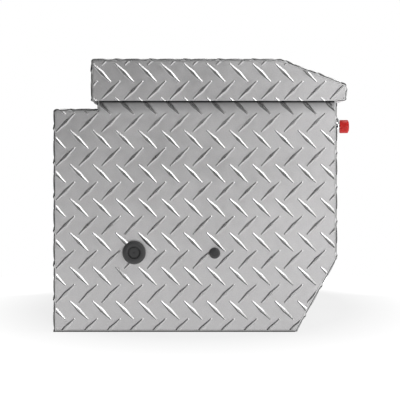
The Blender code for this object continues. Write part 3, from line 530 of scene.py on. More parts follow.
# ---------------------------------------------------------------- casing and lid sheets
REAR_X = low("rear_skin").x
FRONT_X = high("front_skin").x
RIM_Z = high("front_skin").z
HALF_LENGTH = high("front_skin").y
SHELF_Z = reach("rear_skin", 2, 0, REAR_X)
RISER_X = reach("rear_skin", 0, 2, RIM_Z, highest=False)
FLANGE_END_X = high("rear_skin").x
FRONT_FLANGE_X = reach("front_skin", 0, 2, RIM_Z, highest=False)
CHAMFER_Z = reach("port_end_panel", 2, 0, high("port_end_panel").x, highest=False)
CHAMFER_X = reach("front_skin", 0, 2, 0.0)
FLOOR_END_X = low("front_skin").x

LID_REAR_X = low("lid_skin").x
LID_FRONT_X = high("lid_skin").x
LID_TOP_Z = high("lid_skin").z
LID_SKIRT_Z = low("lid_skin").z
LID_SLOPE_X = reach("lid_skin", 0, 2, LID_TOP_Z)
LID_LIP_Z = reach("lid_skin", 2, 0, LID_FRONT_X)
LID_HALF_LENGTH = high("lid_skin").y

SEAM = SHEET + GAP
BEND = 0.0033
OPEN_BEND = 0.0045
RETURN = 0.015
PANEL_CORNER = 0.0016
PORT_BORES = {"outlet": 0.0175, "aux": 0.0077}
END_FIRST_LUG = (-0.2093, 0.0391)
LID_FIRST_LUG = (-0.2093, 0.4667)


def inset(ring, distance):
    """A closed counter-clockwise ring moved inwards."""
    moved = []
    for i, corner in enumerate(ring):
        before, after, _ = corner_ways(ring, i)
        normal = left_of(before)
        bisector = (normal + left_of(after)).normalized()
        moved.append(Vector(corner) + bisector * distance / bisector.dot(normal))
    return moved


def rounded(ring, radius, steps=4):
    """A closed ring with an arc at each corner."""
    made = []
    for i, corner in enumerate(ring):
        before, _, turn = corner_ways(ring, i)
        side = 1 if turn > 0 else -1
        start = Vector(corner) - before * radius * math.tan(abs(turn) / 2)
        centre = start + side * left_of(before) * radius
        for step in range(steps + 1):
            spin = Matrix.Rotation(turn * step / steps, 2)
            made.append(tuple(centre + spin @ (start - centre)))
    return made


def quarter_round(inwards):
    """How far an eased edge stands back, at distances inwards from the edge."""
    past = np.clip(1 - inwards / EASED_EDGE, 0, 1)
    return EASED_EDGE * (1 - np.sqrt(1 - past ** 2))


def end_panel(name, ring, side, first, body, node, holes=()):
    """A flat panel across one end. Side -1 faces -Y."""
    face = low(node).y if side < 0 else high(node).y

    def place(points, height):
        return np.stack([-side * points[:, 0], face + side * np.asarray(height), points[:, 1]], 1)

    if side > 0:
        ring = [(-x, z) for x, z in reversed(ring)]
    corners = np.array(ring)
    lugs = lugs_on(first, corners.min(axis=0), corners.max(axis=0))
    tread_sheet(name, place, ring, lugs, body, [node], holes=holes)


def folded_sheet(name, corners, radii, half, node, body, first, flats):
    """A folded skin. flats(fold) gives the (start, end) distances along it that have no lugs."""
    fold = Fold(corners, radii)
    ends = [(0.0, -half), (fold.length, -half), (fold.length, half), (0.0, half)]
    lines = fold.bend_lines(-half, half)
    for step in EASED_STEPS:
        for sign in (-1, 1):
            v = sign * (half - EASED_EDGE * (1 - step))
            lines.append(((0.0, v), (fold.length, v)))

    def dip(points):
        return quarter_round(half - np.abs(points[:, 1]))

    lugs = lugs_on(first, (0.0, -half), (fold.length, half),
                   spacing=LUG_SPACING[::-1], offset=LEANING_OFFSET[::-1])
    zones = [(start, -2 * half, end, 2 * half) for start, end in flats(fold)]
    lugs = [lug for lug in lugs if not any(z[0] + 0.02 < lug[0] < z[2] - 0.02 for z in zones)]
    tread_sheet(name, fold.place, ends, lugs, body, [node], lines=lines, flats=zones, dip=dip)


def build_casing():
    """The two end panels, and the front and rear skins with plain flanges."""
    body_ring = [(CHAMFER_X, 0.0), (FRONT_X, CHAMFER_Z), (FRONT_X, RIM_Z), (RISER_X, RIM_Z),
                 (RISER_X, SHELF_Z), (REAR_X, SHELF_Z), (REAR_X, 0.0)]
    panel_ring = rounded(inset(body_ring, SEAM), PANEL_CORNER)
    ports = []
    for label, bore in PORT_BORES.items():
        centre = middle(label + "_plug")
        ports.append(circle_ring((centre.x, centre.z), min(bore, half_size(label + "_locknut", 0))))
    end_panel("port_end_tread", panel_ring, -1, END_FIRST_LUG, "casing", "port_end_panel", ports)
    end_panel("plain_end_tread", panel_ring, 1, END_FIRST_LUG, "casing", "plain_end_panel")
    front = [(FRONT_FLANGE_X, RIM_Z), (FRONT_X, RIM_Z), (FRONT_X, CHAMFER_Z), (CHAMFER_X, 0.0),
             (FLOOR_END_X, 0.0)]
    folded_sheet("front_tread", front, [BEND, OPEN_BEND, OPEN_BEND], HALF_LENGTH, "front_skin",
                 "casing", (0.030, -0.440),
                 lambda fold: [(-1.0, 0.040), (fold.straight_start(3) - 0.003, 2.0)])
    rear = [(REAR_X, 0.0), (REAR_X, SHELF_Z), (RISER_X, SHELF_Z), (RISER_X, RIM_Z),
            (FLANGE_END_X, RIM_Z)]
    folded_sheet("rear_tread", rear, [0.005, 0.002, BEND], HALF_LENGTH, "rear_skin", "casing",
                 (0.020, -0.440), lambda fold: [(fold.straight_start(2) - 0.001, 2.0)])


def build_lid_sheets():
    """The lid's skin, which returns under its lip, and its end plates."""
    lid = [(LID_REAR_X, LID_SKIRT_Z), (LID_REAR_X, LID_TOP_Z), (LID_SLOPE_X, LID_TOP_Z),
           (LID_FRONT_X, LID_LIP_Z), (LID_FRONT_X, LID_SKIRT_Z),
           (LID_FRONT_X - RETURN, LID_SKIRT_Z)]
    folded_sheet("lid_tread", lid, [BEND, OPEN_BEND, BEND, BEND], LID_HALF_LENGTH, "lid_skin",
                 "lid", (0.020, -0.450), lambda fold: [(fold.straight_start(4) - 0.004, 2.0)])
    outer = [(LID_REAR_X, LID_SKIRT_Z - SEAM), (LID_FRONT_X, LID_SKIRT_Z), (LID_FRONT_X, LID_LIP_Z),
             (LID_SLOPE_X, LID_TOP_Z), (LID_REAR_X, LID_TOP_Z)]
    ring = [tuple(p) for p in inset(outer, SEAM)]
    ring[0] = (ring[0][0], LID_SKIRT_Z)
    return_end = LID_FRONT_X - RETURN - GAP
    ring[1:2] = [(return_end, LID_SKIRT_Z), (return_end, LID_SKIRT_Z + SEAM),
                 (ring[1][0], LID_SKIRT_Z + SEAM)]
    for side, label in ((-1, "left"), (1, "right")):
        end_panel("lid_end_tread_" + label, ring, side, LID_FIRST_LUG, "lid", "lid_end_" + label)


# ---------------------------------------------------------------- finishes of the fittings
def zinc_plate():
    """Bright zinc: cool grey clouds, a soft spangle and dull worn edges."""
    looks = Looks("zinc_plate", Metallic=1.0)
    clouds = looks.noise(28.0)
    spangle = looks.cells(160.0)
    base = looks.blend(clouds, 0.3, 0.7, (0.50, 0.52, 0.54), (0.66, 0.66, 0.63))
    base = looks.blend(spangle, 0.1, 0.7, base, (0.74, 0.76, 0.80), 0.3)
    base = looks.worn(base, 0.4, grey(0.42))
    rough = looks.ramp(looks.math("ADD", clouds, spangle), 0.4, 1.4, 0.28, 0.48)
    return looks.finish(base, rough, (looks.noise(700.0, 3.0), 0.10, 0.0002))


def chrome_plate():
    """Polished plating with fine wiping marks and a few dull smudges."""
    looks = Looks("chrome_plate", Metallic=1.0)
    smudge = looks.noise(45.0)
    wipes = looks.noise(260.0, 3.0, stretch=(1.0, 0.2, 1.0))
    base = looks.blend(smudge, 0.45, 0.75, (0.82, 0.82, 0.83), (0.70, 0.70, 0.71))
    rough = looks.math("ADD", looks.ramp(smudge, 0.4, 0.75, 0.10, 0.26),
                       looks.ramp(wipes, 0.5, 0.8, 0.0, 0.10))
    return looks.finish(base, rough, (wipes, 0.04, 0.0002))


def black_paint():
    """Stove enamel: a slight orange peel, rubbed grey on its edges."""
    looks = Looks("black_enamel", Coat_Weight=0.25, Coat_Roughness=0.15)
    dust = looks.noise(24.0, 5.0, 0.7)
    base = looks.blend(dust, 0.4, 0.8, (0.018, 0.018, 0.019), (0.055, 0.054, 0.052), 0.5)
    base = looks.worn(base, 0.5, grey(0.20), 0.52, 0.60)
    peel = looks.noise(420.0, 2.0, 0.4)
    return looks.finish(base, looks.ramp(dust, 0.3, 0.8, 0.26, 0.52), (peel, 0.12, 0.0003))


def moulded(name, dark, light, rough, worn):
    """Moulded plastic: a fine tooled grain, slow shade changes, scuffs and paler worn edges."""
    looks = Looks(name)
    slow = looks.noise(18.0)
    tooth = looks.noise(1500.0, 2.0)
    scuffs = looks.ramp(looks.cells(90.0, stretch=(1.0, 0.15, 1.0)), 0.0, 0.02, 0.22, 0.0)
    base = looks.blend(slow, 0.3, 0.7, dark, light)
    base = looks.blend(tooth, 0.35, 0.70, base, tuple(1.25 * v for v in light), 0.25)
    base = looks.worn(looks.mix(scuffs, base, worn), 0.45, worn, 0.51, 0.58)
    rough = looks.math("ADD", looks.ramp(slow, 0.3, 0.7, *rough), scuffs)
    return looks.finish(base, rough, (tooth, 0.25, 0.0002))


def rubber():
    """Black rubber: matt, a little chalky, with dust in its pores."""
    looks = Looks("black_rubber", Sheen_Weight=0.25)
    bloom = looks.noise(30.0, 5.0, 0.7)
    base = looks.blend(bloom, 0.35, 0.75, grey(0.014), (0.050, 0.050, 0.048), 0.8)
    rough = looks.ramp(bloom, 0.3, 0.7, 0.66, 0.86)
    return looks.finish(base, rough, (looks.cells(1300.0), 0.22, 0.0002))


def red_gloss():
    """Glossy red cap: clear over colour, slightly paler on its worn rim, with fine scratches."""
    looks = Looks("red_gloss", Coat_Weight=0.25, Coat_Roughness=0.12, Specular_IOR_Level=0.3)
    slow = looks.noise(60.0, 3.0, 0.5)
    base = looks.blend(slow, 0.3, 0.7, (0.58, 0.006, 0.005), (0.68, 0.010, 0.008))
    base = looks.worn(base, 0.3, (0.80, 0.05, 0.04), 0.51, 0.58)
    scuffs = looks.ramp(looks.cells(300.0, stretch=(1.0, 0.3, 1.0)), 0.0, 0.02, 0.12, 0.0)
    rough = looks.math("ADD", looks.ramp(slow, 0.3, 0.7, 0.30, 0.42), scuffs)
    return looks.finish(base, rough, (looks.noise(900.0, 2.0, 0.5), 0.05, 0.0002))


def tank_white():
    """Rotationally moulded polyethylene: milky, waxy, with a soft orange peel."""
    looks = Looks("tank_plastic", Subsurface_Weight=0.25, Subsurface_Scale=0.006)
    milk = looks.noise(11.0)
    base = looks.blend(milk, 0.3, 0.7, (0.70, 0.73, 0.72), (0.84, 0.86, 0.84))
    base = looks.mix(looks.ramp(looks.cells(420.0), 0.0, 0.10, 0.5, 0.0), base, (0.60, 0.62, 0.60))
    peel = looks.noise(240.0, 3.0, 0.5)
    return looks.finish(base, looks.ramp(milk, 0.3, 0.7, 0.34, 0.52), (peel, 0.18, 0.0005))


FINISHES = {
    "sheet_aluminium": LID_LOOKS[1],
    "zinc_steel": zinc_plate(),
    "chrome": chrome_plate(),
    "black_paint": black_paint(),
    "black_plastic": moulded("black_plastic", (0.040, 0.040, 0.041), (0.060, 0.060, 0.061),
                             rough=(0.42, 0.60), worn=(0.116, 0.116, 0.1176)),
    "black_rubber": rubber(),
    "red_plastic": red_gloss(),
    "tank_plastic": tank_white(),
    "blue_plastic": moulded("blue_plastic", (0.020, 0.105, 0.36), (0.030, 0.150, 0.46),
                            rough=(0.30, 0.44), worn=(0.22, 0.38, 0.62)),
}


# ---------------------------------------------------------------- shapes of the fittings
def weld(pieces):
    """Several (vertices, faces) as one."""
    vertices = []
    faces = []
    for more, sides in pieces:
        faces += [tuple(len(vertices) + i for i in side) for side in sides]
        vertices += [tuple(v) for v in more]
    return vertices, faces


def mm(points, height=0.0, radius=0.0):
    """Profile points in millimetres, counted from a height and a radius in metres."""
    return [(radius + r / 1000, height + h / 1000) for r, h in points]


def arc(centre, radius, start, end, steps):
    """Profile points on an arc, with angles in degrees."""
    turns = [math.radians(start + (end - start) * i / steps) for i in range(steps + 1)]
    return [(centre[0] + radius * math.cos(t), centre[1] + radius * math.sin(t)) for t in turns]


def lathe(profile, place, direction, steps=64, ring=False, ripple=None):
    """A turned shape of (radius, height) points that run down its outer side. ripple(radius,
    height, turn) is added to a radius."""
    spin = Vector(direction).to_track_quat("Z", "Y")
    place = Vector(place)
    turns = [math.tau * i / steps for i in range(steps)]
    vertices = []
    rings = []
    for radius, height in profile:
        if radius < 1e-7:
            rings.append([len(vertices)] * steps)
            vertices.append(place + spin @ Vector((0, 0, height)))
            continue
        rings.append(range(len(vertices), len(vertices) + steps))
        for turn in turns:
            wide = radius + (ripple(radius, height, turn) if ripple else 0.0)
            vertices.append(place + spin @ Vector((wide * math.cos(turn), wide * math.sin(turn), height)))
    faces = []
    pairs = list(zip(rings, rings[1:])) + ([(rings[-1], rings[0])] if ring else [])
    for upper, lower in pairs:
        for i in range(steps):
            j = (i + 1) % steps
            side = (upper[i], lower[i], lower[j], upper[j])
            faces.append(tuple(dict.fromkeys(side)))
    return vertices, faces


def block(low_corner, high_corner, ease=0.0):
    """A box with eased edges."""
    bm = bmesh.new()
    size = [b - a for a, b in zip(low_corner, high_corner)]
    centre = [(a + b) / 2 for a, b in zip(low_corner, high_corner)]
    place = Matrix.Translation(centre) @ Matrix.Diagonal((*size, 1.0))
    bmesh.ops.create_cube(bm, size=1.0, matrix=place)
    if ease:
        bmesh.ops.bevel(bm, geom=bm.edges[:], offset=ease, segments=3, profile=0.5,
                        affect="EDGES", clamp_overlap=True)
    bm.verts.index_update()
    made = [v.co.copy() for v in bm.verts], [tuple(v.index for v in f.verts) for f in bm.faces]
    bm.free()
    return made


def looped_faces(rings, count):
    """The faces between closed rings of points, the last of which joins the first."""
    return [(a * count + i, a * count + (i + 1) % count,
             (a + 1) % rings * count + (i + 1) % count, (a + 1) % rings * count + i)
            for a in range(rings) for i in range(count)]


def looped_tube(path, radius, sides=24):
    """A round tube along a closed, level path."""
    path = [Vector(p) for p in path]
    vertices = []
    for i, point in enumerate(path):
        way = (path[(i + 1) % len(path)] - path[i - 1]).normalized()
        across = Vector((0, 0, 1)).cross(way).normalized()
        upright = way.cross(across)
        for k in range(sides):
            turn = math.tau * k / sides
            vertices.append(point + radius * (math.cos(turn) * across + math.sin(turn) * upright))
    return vertices, looped_faces(len(path), sides)


def slot_of(node):
    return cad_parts[node].material_slots[0].name


def fitting(name, shape, body, slot, replaced=(), degrees=32):
    """A detailed piece in its slot's finish, in place of CAD nodes, with its faces turned out."""
    obj = add_mesh(name, *shape, body, slot, [FINISHES[slot]])
    bm = bmesh.new()
    bm.from_mesh(obj.data)
    bmesh.ops.recalc_face_normals(bm, faces=bm.faces)
    bm.to_mesh(obj.data)
    bm.free()
    smooth(obj, degrees)
    if replaced:
        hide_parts(*replaced)


def screw_head(place, direction, radius, height):
    """A pan head with a cross recess, closed underneath."""
    top = [(0.0, height * 0.45), (radius * 0.18, height * 0.45), (radius * 0.42, height * 0.98),
           (radius * 0.55, height)]
    side = arc((radius * 0.62, height * 0.40), radius * 0.38, 80, -10, 5)

    def cross(wide, up, turn):
        """Pulls the recess in between its four arms."""
        if radius * 0.15 < wide < radius * 0.5:
            return -wide * 0.55 * abs(math.sin(2 * turn)) ** 1.5
        return 0.0

    profile = top + side + [(radius, 0.0), (0.0, 0.0)]
    return lathe(profile, place, direction, 32, ripple=cross)


def rivet_head(place, direction, radius, height):
    """A low dome on a flat foot."""
    dome = [(radius * math.sin(t), height * math.cos(t)) for t in (0.35, 0.7, 1.0, 1.25, 1.45)]
    return lathe([(0.0, height), *dome, (radius, 0.0), (0.0, 0.0)], place, direction, 20)


# ---------------------------------------------------------------- ports
# The radius of each plug's shank, and its profile: from the face, from the head's side at
# the face, and from the head's side at the washer.
PLUGS = {
    "outlet": (0.0139,
               [(0, -3.4), (1, -3.4), (1.6, -2.7), (6, -2.6), (8.8, -2.8), (9.5, -3.6),
                (10.2, -3.6), (10.8, -2.6), (11.8, -0.3), (12.8, 0)],
               [(-4, -0.1), (-2.2, -0.6), (-0.8, -1.7), (0, -3.4)],
               [(0, 0.8), (-0.6, 0)]),
    "aux": (0.0049,
            [(0, -0.3), (2.4, 0), (4.8, -0.4), (5.2, -0.9), (5.8, -0.9), (6.2, -0.5),
             (7.8, -1.1), (9.2, -2.5)],
            [(0, -4.2)],
            [(0, 0.5), (-0.4, 0)]),
}
THREAD_PITCH = 0.0024
THREAD_DEPTH = 0.0011
THREAD_STEPS = 60


def build_ports():
    """Moulded plugs, each with a turned rim, over a washer."""
    outwards = (0, -1, 0)
    for label, (bore, recess, rim, foot) in PLUGS.items():
        node = label + "_plug"
        washer = label + "_washer"
        centre = middle(node)
        place = (centre.x, 0.0, centre.z)
        head = half_size(node, 0)
        face, deep = -low(node).y, -high(node).y
        under = -low(washer).y + GAP
        length = under - deep
        profile = mm(recess, face) + mm(rim, face, head) + mm(foot, under, head)
        for i in range(THREAD_STEPS + 1):
            part = i / THREAD_STEPS
            crest = 0.5 - 0.5 * math.cos(math.tau * part * length / THREAD_PITCH)
            runout = min(1.0, 6 * part, 6 * (1 - part))
            profile.append((bore - THREAD_DEPTH * crest * runout, under - part * length))
        profile.append((0.0, deep))
        fitting(node + "_detailed", lathe(profile, place, outwards, 72), label + "_stopper",
                "black_plastic", [node], 28)
        wide = half_size(washer, 0)
        inner = bore + GAP
        top, base = -low(washer).y, -high(washer).y
        between = (top + base) / 2
        ring = [(wide - 0.0004, top), (wide, between), (wide - 0.0004, base),
                (inner + 0.0002, base), (inner, between), (inner + 0.0002, top)]
        fitting(washer + "_detailed", lathe(ring, place, outwards, 72, ring=True),
                label + "_seal", "black_rubber", [washer], 60)


# ---------------------------------------------------------------- latches
def build_latches():
    """A domed red cap on each polished stem, over a pressed chrome plate with two screws."""
    for label in ("left", "right"):
        node = "release_button_" + label
        stem_node = "button_stem_" + label
        centre = middle(node)
        radius = half_size(node, 2)
        back, face = low(node).x, high(node).x
        stem = half_size(stem_node, 2) + GAP
        socket = high(stem_node).x + GAP
        dome = [(radius * math.sin(t) * 0.86, face - 0.0011 * (1 - math.cos(t)) / 0.6)
                for t in [0.14375 * k for k in range(1, 7)]]
        rim = arc((radius - 0.0024, face - 0.0040), 0.0024, 62, 0, 6)
        cap = [(0.0, face), *dome, *rim, *mm([(0, 1.2), (-0.3, 0.4), (-1.1, 0)], back, radius),
               *mm([(0.9, 0), (0, 0.8)], back, stem), (stem, socket), (0.0, socket)]
        fitting(node + "_detailed", lathe(cap, (0.0, centre.y, centre.z), (1, 0, 0), 72),
                "button_" + label, "red_plastic", [node], 35)
        build_cover_plate(label, centre.z, radius + 0.0005)


def build_cover_plate(label, bore_z, bore):
    """A dished plate with rounded corners, a rolled lip round its bore and two screws."""
    node = "latch_plate_" + label
    x0, x1 = low(node).x, high(node).x
    here = middle(node)
    half_y, half_z = half_size(node, 1), half_size(node, 2)
    turns = [math.tau * i / 96 for i in range(96)]

    def squared(part):
        """A sine or cosine that is drawn out towards a rounded square."""
        return math.copysign(abs(part) ** 0.22, part)

    levels = mm([(0, 0), (0, 2.2), (0.6, 3.4), (1.6, 4.1), (3, 4.4)], x0)
    lip = mm([(4.2, 4.6), (2.8, 5.2)], x0, bore)
    lip += mm([(1.8, -1), (0.8, 0), (0.2, -0.3), (0, -1.2)], x1, bore) + [(bore, x0)]
    vertices = [(x, here.y + squared(math.cos(turn)) * (half_y - ease),
                 here.z + squared(math.sin(turn)) * (half_z - ease))
                for ease, x in levels for turn in turns]
    vertices += [(x, here.y + radius * math.cos(turn), bore_z + radius * math.sin(turn))
                 for radius, x in lip for turn in turns]
    faces = looped_faces(len(levels) + len(lip), len(turns))
    fitting(node + "_pressed", (vertices, faces), "casing", "chrome", [node], 40)
    heads = [screw_head((x0 + 0.0040, here.y + y * (half_y - 0.0042), here.z + z * (half_z - 0.0042)),
                        (1, 0, 0), 0.0022, 0.0016)
             for y, z in ((-1, 1), (1, 1), (-1, -1), (1, -1))]
    fitting("latch_screws_" + label, weld(heads), "casing", "zinc_steel")


# ---------------------------------------------------------------- compartment fittings
FLOAT_HUB = 0.0042
UP = (0, 0, 1)


def build_filler_cap():
    """A ribbed cap with a raised ring and two grip bars."""
    node = "filler_cap"
    centre = middle(node)
    radius = half_size(node, 0)
    top, foot = high(node).z, low(node).z
    under = high("filler_gasket").z + GAP
    bore = radius - 0.0078

    def grips(wide, up, turn):
        if wide < radius - 0.0012 or not foot + 0.0015 < up < top - 0.0035:
            return 0.0
        return -0.0011 * (0.5 - 0.5 * math.cos(36 * turn)) ** 2

    cap = mm([(0, -1.6), (12, -1.6), (13.5, -0.6), (15.5, 0), (17.5, -0.6), (19, -2.2)], top)
    cap += mm([(-13, -2.2), (-11, -1), (-8.5, -0.4)], top, radius)
    cap += arc((radius - 0.0030, top - 0.0034), 0.0030, 85, 0, 6) + mm([(0, -6)], top, radius)
    cap += mm([(0, 3), (-0.3, 1.2), (-1.2, 0)], foot, radius) + mm([(0.6, 0), (0, 1)], foot, bore)
    cap += [(bore, under), (0.0, under)]
    bars = [block((centre.x + x, centre.y - 0.0045, top - 0.0030),
                  (centre.x + x + 0.0150, centre.y + 0.0045, top - 0.0002), 0.0009)
            for x in (-0.0340, 0.0190)]
    turned = lathe(cap, (centre.x, centre.y, 0.0), UP, 288, ripple=grips)
    fitting(node + "_ribbed", weld([turned, *bars]), "filler_lid", "blue_plastic", [node], 30)


def build_vent_cap():
    """A mushroom cap over a slotted neck."""
    node = "vent_cap"
    centre = middle(node)
    top, foot = high(node).z, low(node).z
    radius = half_size(node, 0)

    def slots(wide, up, turn):
        if 0.0135 < wide < 0.0165 and up < foot + 0.0095:
            return -0.0009 * (0.5 - 0.5 * math.cos(12 * turn)) ** 3
        return 0.0

    cap = mm([(0, -0.8), (4, -0.6), (5.5, 0), (8.5, -0.4)], top)
    cap += arc((radius - 0.0070, top - 0.0078), 0.0070, 80, 0, 8)
    cap += mm([(0, 13.5), (-0.6, 12.2)], foot, radius)
    cap += mm([(15.2, 11.2), (15, 9.8), (15, 9), (15, 1.2), (14.5, 0), (12.3, 0), (12.3, 14),
               (0, 14)], foot)
    turned = lathe(cap, (centre.x, centre.y, 0.0), UP, 96, ripple=slots)
    fitting(node + "_detailed", turned, "casing", "black_plastic", [node], 30)


def build_sender():
    """A screwed flange with a domed head, two terminals, and the pin that the float turns on."""
    node = "level_sender"
    top, foot = high(node).z, low(node).z
    flange = half_size(node, 1)
    x, y = low(node).x + flange, middle(node).y
    base = top - 0.024
    body = mm([(0, 0), (3, 0), (3.4, -0.8), (3.4, -4), (6.2, -4.2), (8, -5), (9, -7)], top)
    body += mm([(9, 8.5), (10, 6.6), (12.5, 6), (22, 6), (22.6, 5.2)], base)
    body += mm([(-1.2, 5.2), (-0.3, 4.4), (0, 3), (0, 0.6), (-0.5, 0)], base, flange)
    body += mm([(5.5, 0), (5, -0.8)], base) + mm([(5, 1), (4.4, 0), (0, 0)], foot)
    pin = lathe(mm([(0, 13), (1.2, 13), (1.6, 12.6), (1.6, -1), (0, -1)]),
                (x, y, high("float_arm").z - FLOAT_HUB), (1, 0, 0), 24)
    fitting(node + "_detailed", weld([lathe(body, (x, y, 0.0), UP, 72), pin]), "casing",
            "black_plastic", [node], 30)
    screws = []
    for k in range(5):
        turn = math.tau * (k + 0.25) / 5
        at = (x + 0.0270 * math.cos(turn), y + 0.0270 * math.sin(turn), base + 0.0052)
        screws.append(screw_head(at, UP, 0.0031, 0.0022))
    terminal = mm([(0, 8), (1.7, 8), (2, 7.6), (2, 3.4), (4, 3.4), (4, 0), (0, 0)])
    for side in (-1, 1):
        screws.append(lathe(terminal, (x, y + side * 0.0165, base + 0.0060), UP, 24))
    fitting("sender_screws", weld(screws), "casing", "zinc_steel", degrees=30)


def build_float():
    """A moulded drum with a parting line."""
    node = "level_float"
    half, radius = half_size(node, 0), half_size(node, 2)
    upper = [(0.0, half), (radius - 0.0060, half)]
    upper += arc((radius - 0.0050, half - 0.0050), 0.0050, 80, 0, 6)
    drum = upper + mm([(0, 1.6), (0.4, 1), (0.4, -1), (0, -1.6)], radius=radius)
    drum += [(r, -h) for r, h in reversed(upper)]
    fitting(node + "_moulded", lathe(drum, middle(node), (1, 0, 0), 64), "float", "tank_plastic",
            [node], 30)


# ---------------------------------------------------------------- gas struts
STRUT_EYE = 0.009


def strut_eye(place, way, reach):
    """A flattened eye with a rounded rim, and a neck towards the tube."""
    rim = mm([(8.8, 3.2), (9, 2.8), (9, -2.8), (8.8, -3.2), (8.2, -4), (5, -4), (4.4, -3.4),
              (4.4, 3.4), (5, 4), (8.2, 4)])
    neck = mm([(0, 0), (4.6, 0), (5, -0.6)], reach) + mm([(4.6, 7.8), (0, 7.8)])
    return [lathe(rim, place, (0, 1, 0), 48, ring=True), lathe(neck, place, way, 32)]


def build_struts():
    """Painted tubes with rolled necks, polished rods, and eyes on studs."""
    for label in ("left", "right"):
        tube_node, rod_node = "strut_cylinder_" + label, "strut_rod_" + label
        foot = middle("strut_foot_stud_" + label)
        foot.y = middle(rod_node).y
        head = high(rod_node) - Vector((STRUT_EYE, 0.0, STRUT_EYE))
        head.y = foot.y
        way = (head - foot).normalized()
        length = (head - foot).length
        tube = mm([(0, 24), (4.3, 24)])
        tube += mm([(4.3, -0.3), (4.6, 0), (6, -0.2), (7.4, -1.2), (8, -2.8), (8, -9), (7.6, -9.8),
                    (7.6, -10.8), (8, -11.6)], 0.72 * length)
        tube += mm([(8, 21.5), (7.7, 17), (6.6, 14.2), (5.2, 13), (0, 13)])
        fitting(tube_node + "_detailed",
                weld([lathe(tube, foot, way, 48), *strut_eye(foot, way, 0.0135)]),
                "strut_tube_" + label, "black_paint", [tube_node], 30)
        rod = mm([(0, -7), (4, -7)], length) + mm([(4, 30.6), (3.4, 30), (0, 30)])
        fitting(rod_node + "_detailed",
                weld([lathe(rod, foot, way, 40), *strut_eye(head, -way, 0.0160)]),
                "strut_piston_" + label, "chrome", [rod_node], 30)


# ---------------------------------------------------------------- pressed sheets
def stadium(start, end, radius, steps=8):
    """A ring round a line at a distance."""
    start, end = Vector(start), Vector(end)
    along = (end - start).normalized()
    across = left_of(along)
    ring = []
    for centre, way in ((end, 1), (start, -1)):
        for i in range(steps + 1):
            turn = -math.pi / 2 + math.pi * i / steps
            ring.append(centre + radius * way * (math.cos(turn) * along + math.sin(turn) * across))
    return ring


def box_ring(node, corner, margin=0.0, steps=4):
    """The outline of a node from above, less a margin, with rounded corners."""
    x0, y0 = (v + margin for v in low(node)[:2])
    x1, y1 = (v - margin for v in high(node)[:2])
    return rounded([(x0, y0), (x1, y0), (x1, y1), (x0, y1)], corner, steps)


def pressed_sheet(node, body, corner, holes, beads, depth, half_width):
    """A flat sheet with holes, and with rounded beads pressed up along lines."""
    outline = box_ring(node, corner)
    drawn = Lines()
    for ring in (outline, *holes):
        drawn.add_ring(ring)
    for a, b in beads:
        for part in (0.15, 0.4, 0.6, 0.8, 1.0):
            drawn.add_ring(stadium(a, b, half_width * part))
    flat, triangles = drawn.triangulate(outline, holes)
    height = np.zeros(len(flat))
    for a, b in beads:
        a, b = np.array(a), np.array(b)
        share = np.clip(((flat - a) @ (b - a)) / ((b - a) @ (b - a)), 0, 1)
        away = np.linalg.norm(flat - a - share[:, None] * (b - a), axis=1)
        near = np.clip(1 - away / half_width, 0, 1)
        height = np.maximum(height, depth * (3 * near ** 2 - 2 * near ** 3))
    used, triangles = compact(triangles)
    top, foot = (np.column_stack([flat[used], height[used] + z])
                 for z in (high(node).z, low(node).z))
    count = len(used)
    faces = [tuple(t) for t in triangles.tolist()]
    faces += [(count + c, count + b, count + a) for a, b, c in triangles.tolist()]
    faces += [(b, a, count + a, count + b) for a, b in rim_edges(triangles)]
    fitting(node + "_pressed", (np.concatenate([top, foot]), faces), body, slot_of(node), [node], 35)


def build_sheets():
    """The lid's pan and the compartment's deck, with beads, and the seal round the rim."""
    x0, x1 = low("lid_pan").x, high("lid_pan").x
    beads = [((x0 + part * (x1 - x0), side * near), (x0 + part * (x1 - x0), side * far))
             for side in (-1, 1) for near, far in ((0.06, 0.20), (0.25, 0.40))
             for part in (0.18, 0.82, 0.5)]
    pressed_sheet("lid_pan", "lid", 0.004, [], beads, 0.0016, 0.011)
    holes = []
    for node, radius in (("filler_cap", 0.048), ("vent_cap", 0.015), ("level_sender", 0.021)):
        holes.append(circle_ring((low(node).x + half_size(node, 1), middle(node).y), radius, 64))
    beads = [((x, y0), (x, y1)) for x, y0, y1 in (
        (-0.190, -0.400, 0.400), (0.155, -0.400, -0.270), (0.155, -0.080, 0.400),
        (-0.040, -0.020, 0.400), (-0.040, -0.400, -0.270))]
    pressed_sheet("deck_plate", "casing", 0.006, holes, beads, 0.0022, 0.013)
    edge, top = high("deck_plate").x - 0.010, high("deck_plate").z
    screws = [screw_head((side * edge, -0.405 + 0.135 * k, top), UP, 0.0042, 0.0028)
              for side in (-1, 1) for k in range(7)]
    fitting("deck_screws", weld(screws), "casing", "zinc_steel")

    radius = half_size("rim_seal", 2)
    path = [(x, y, middle("rim_seal").z) for x, y in box_ring("rim_seal", 0.010, radius, 8)]
    fitting("rim_seal_rounded", looped_tube(path, radius), "casing", "black_rubber",
            ["rim_seal"], 40)


# ---------------------------------------------------------------- hinge
KNUCKLES = 36
RIVETS = 18


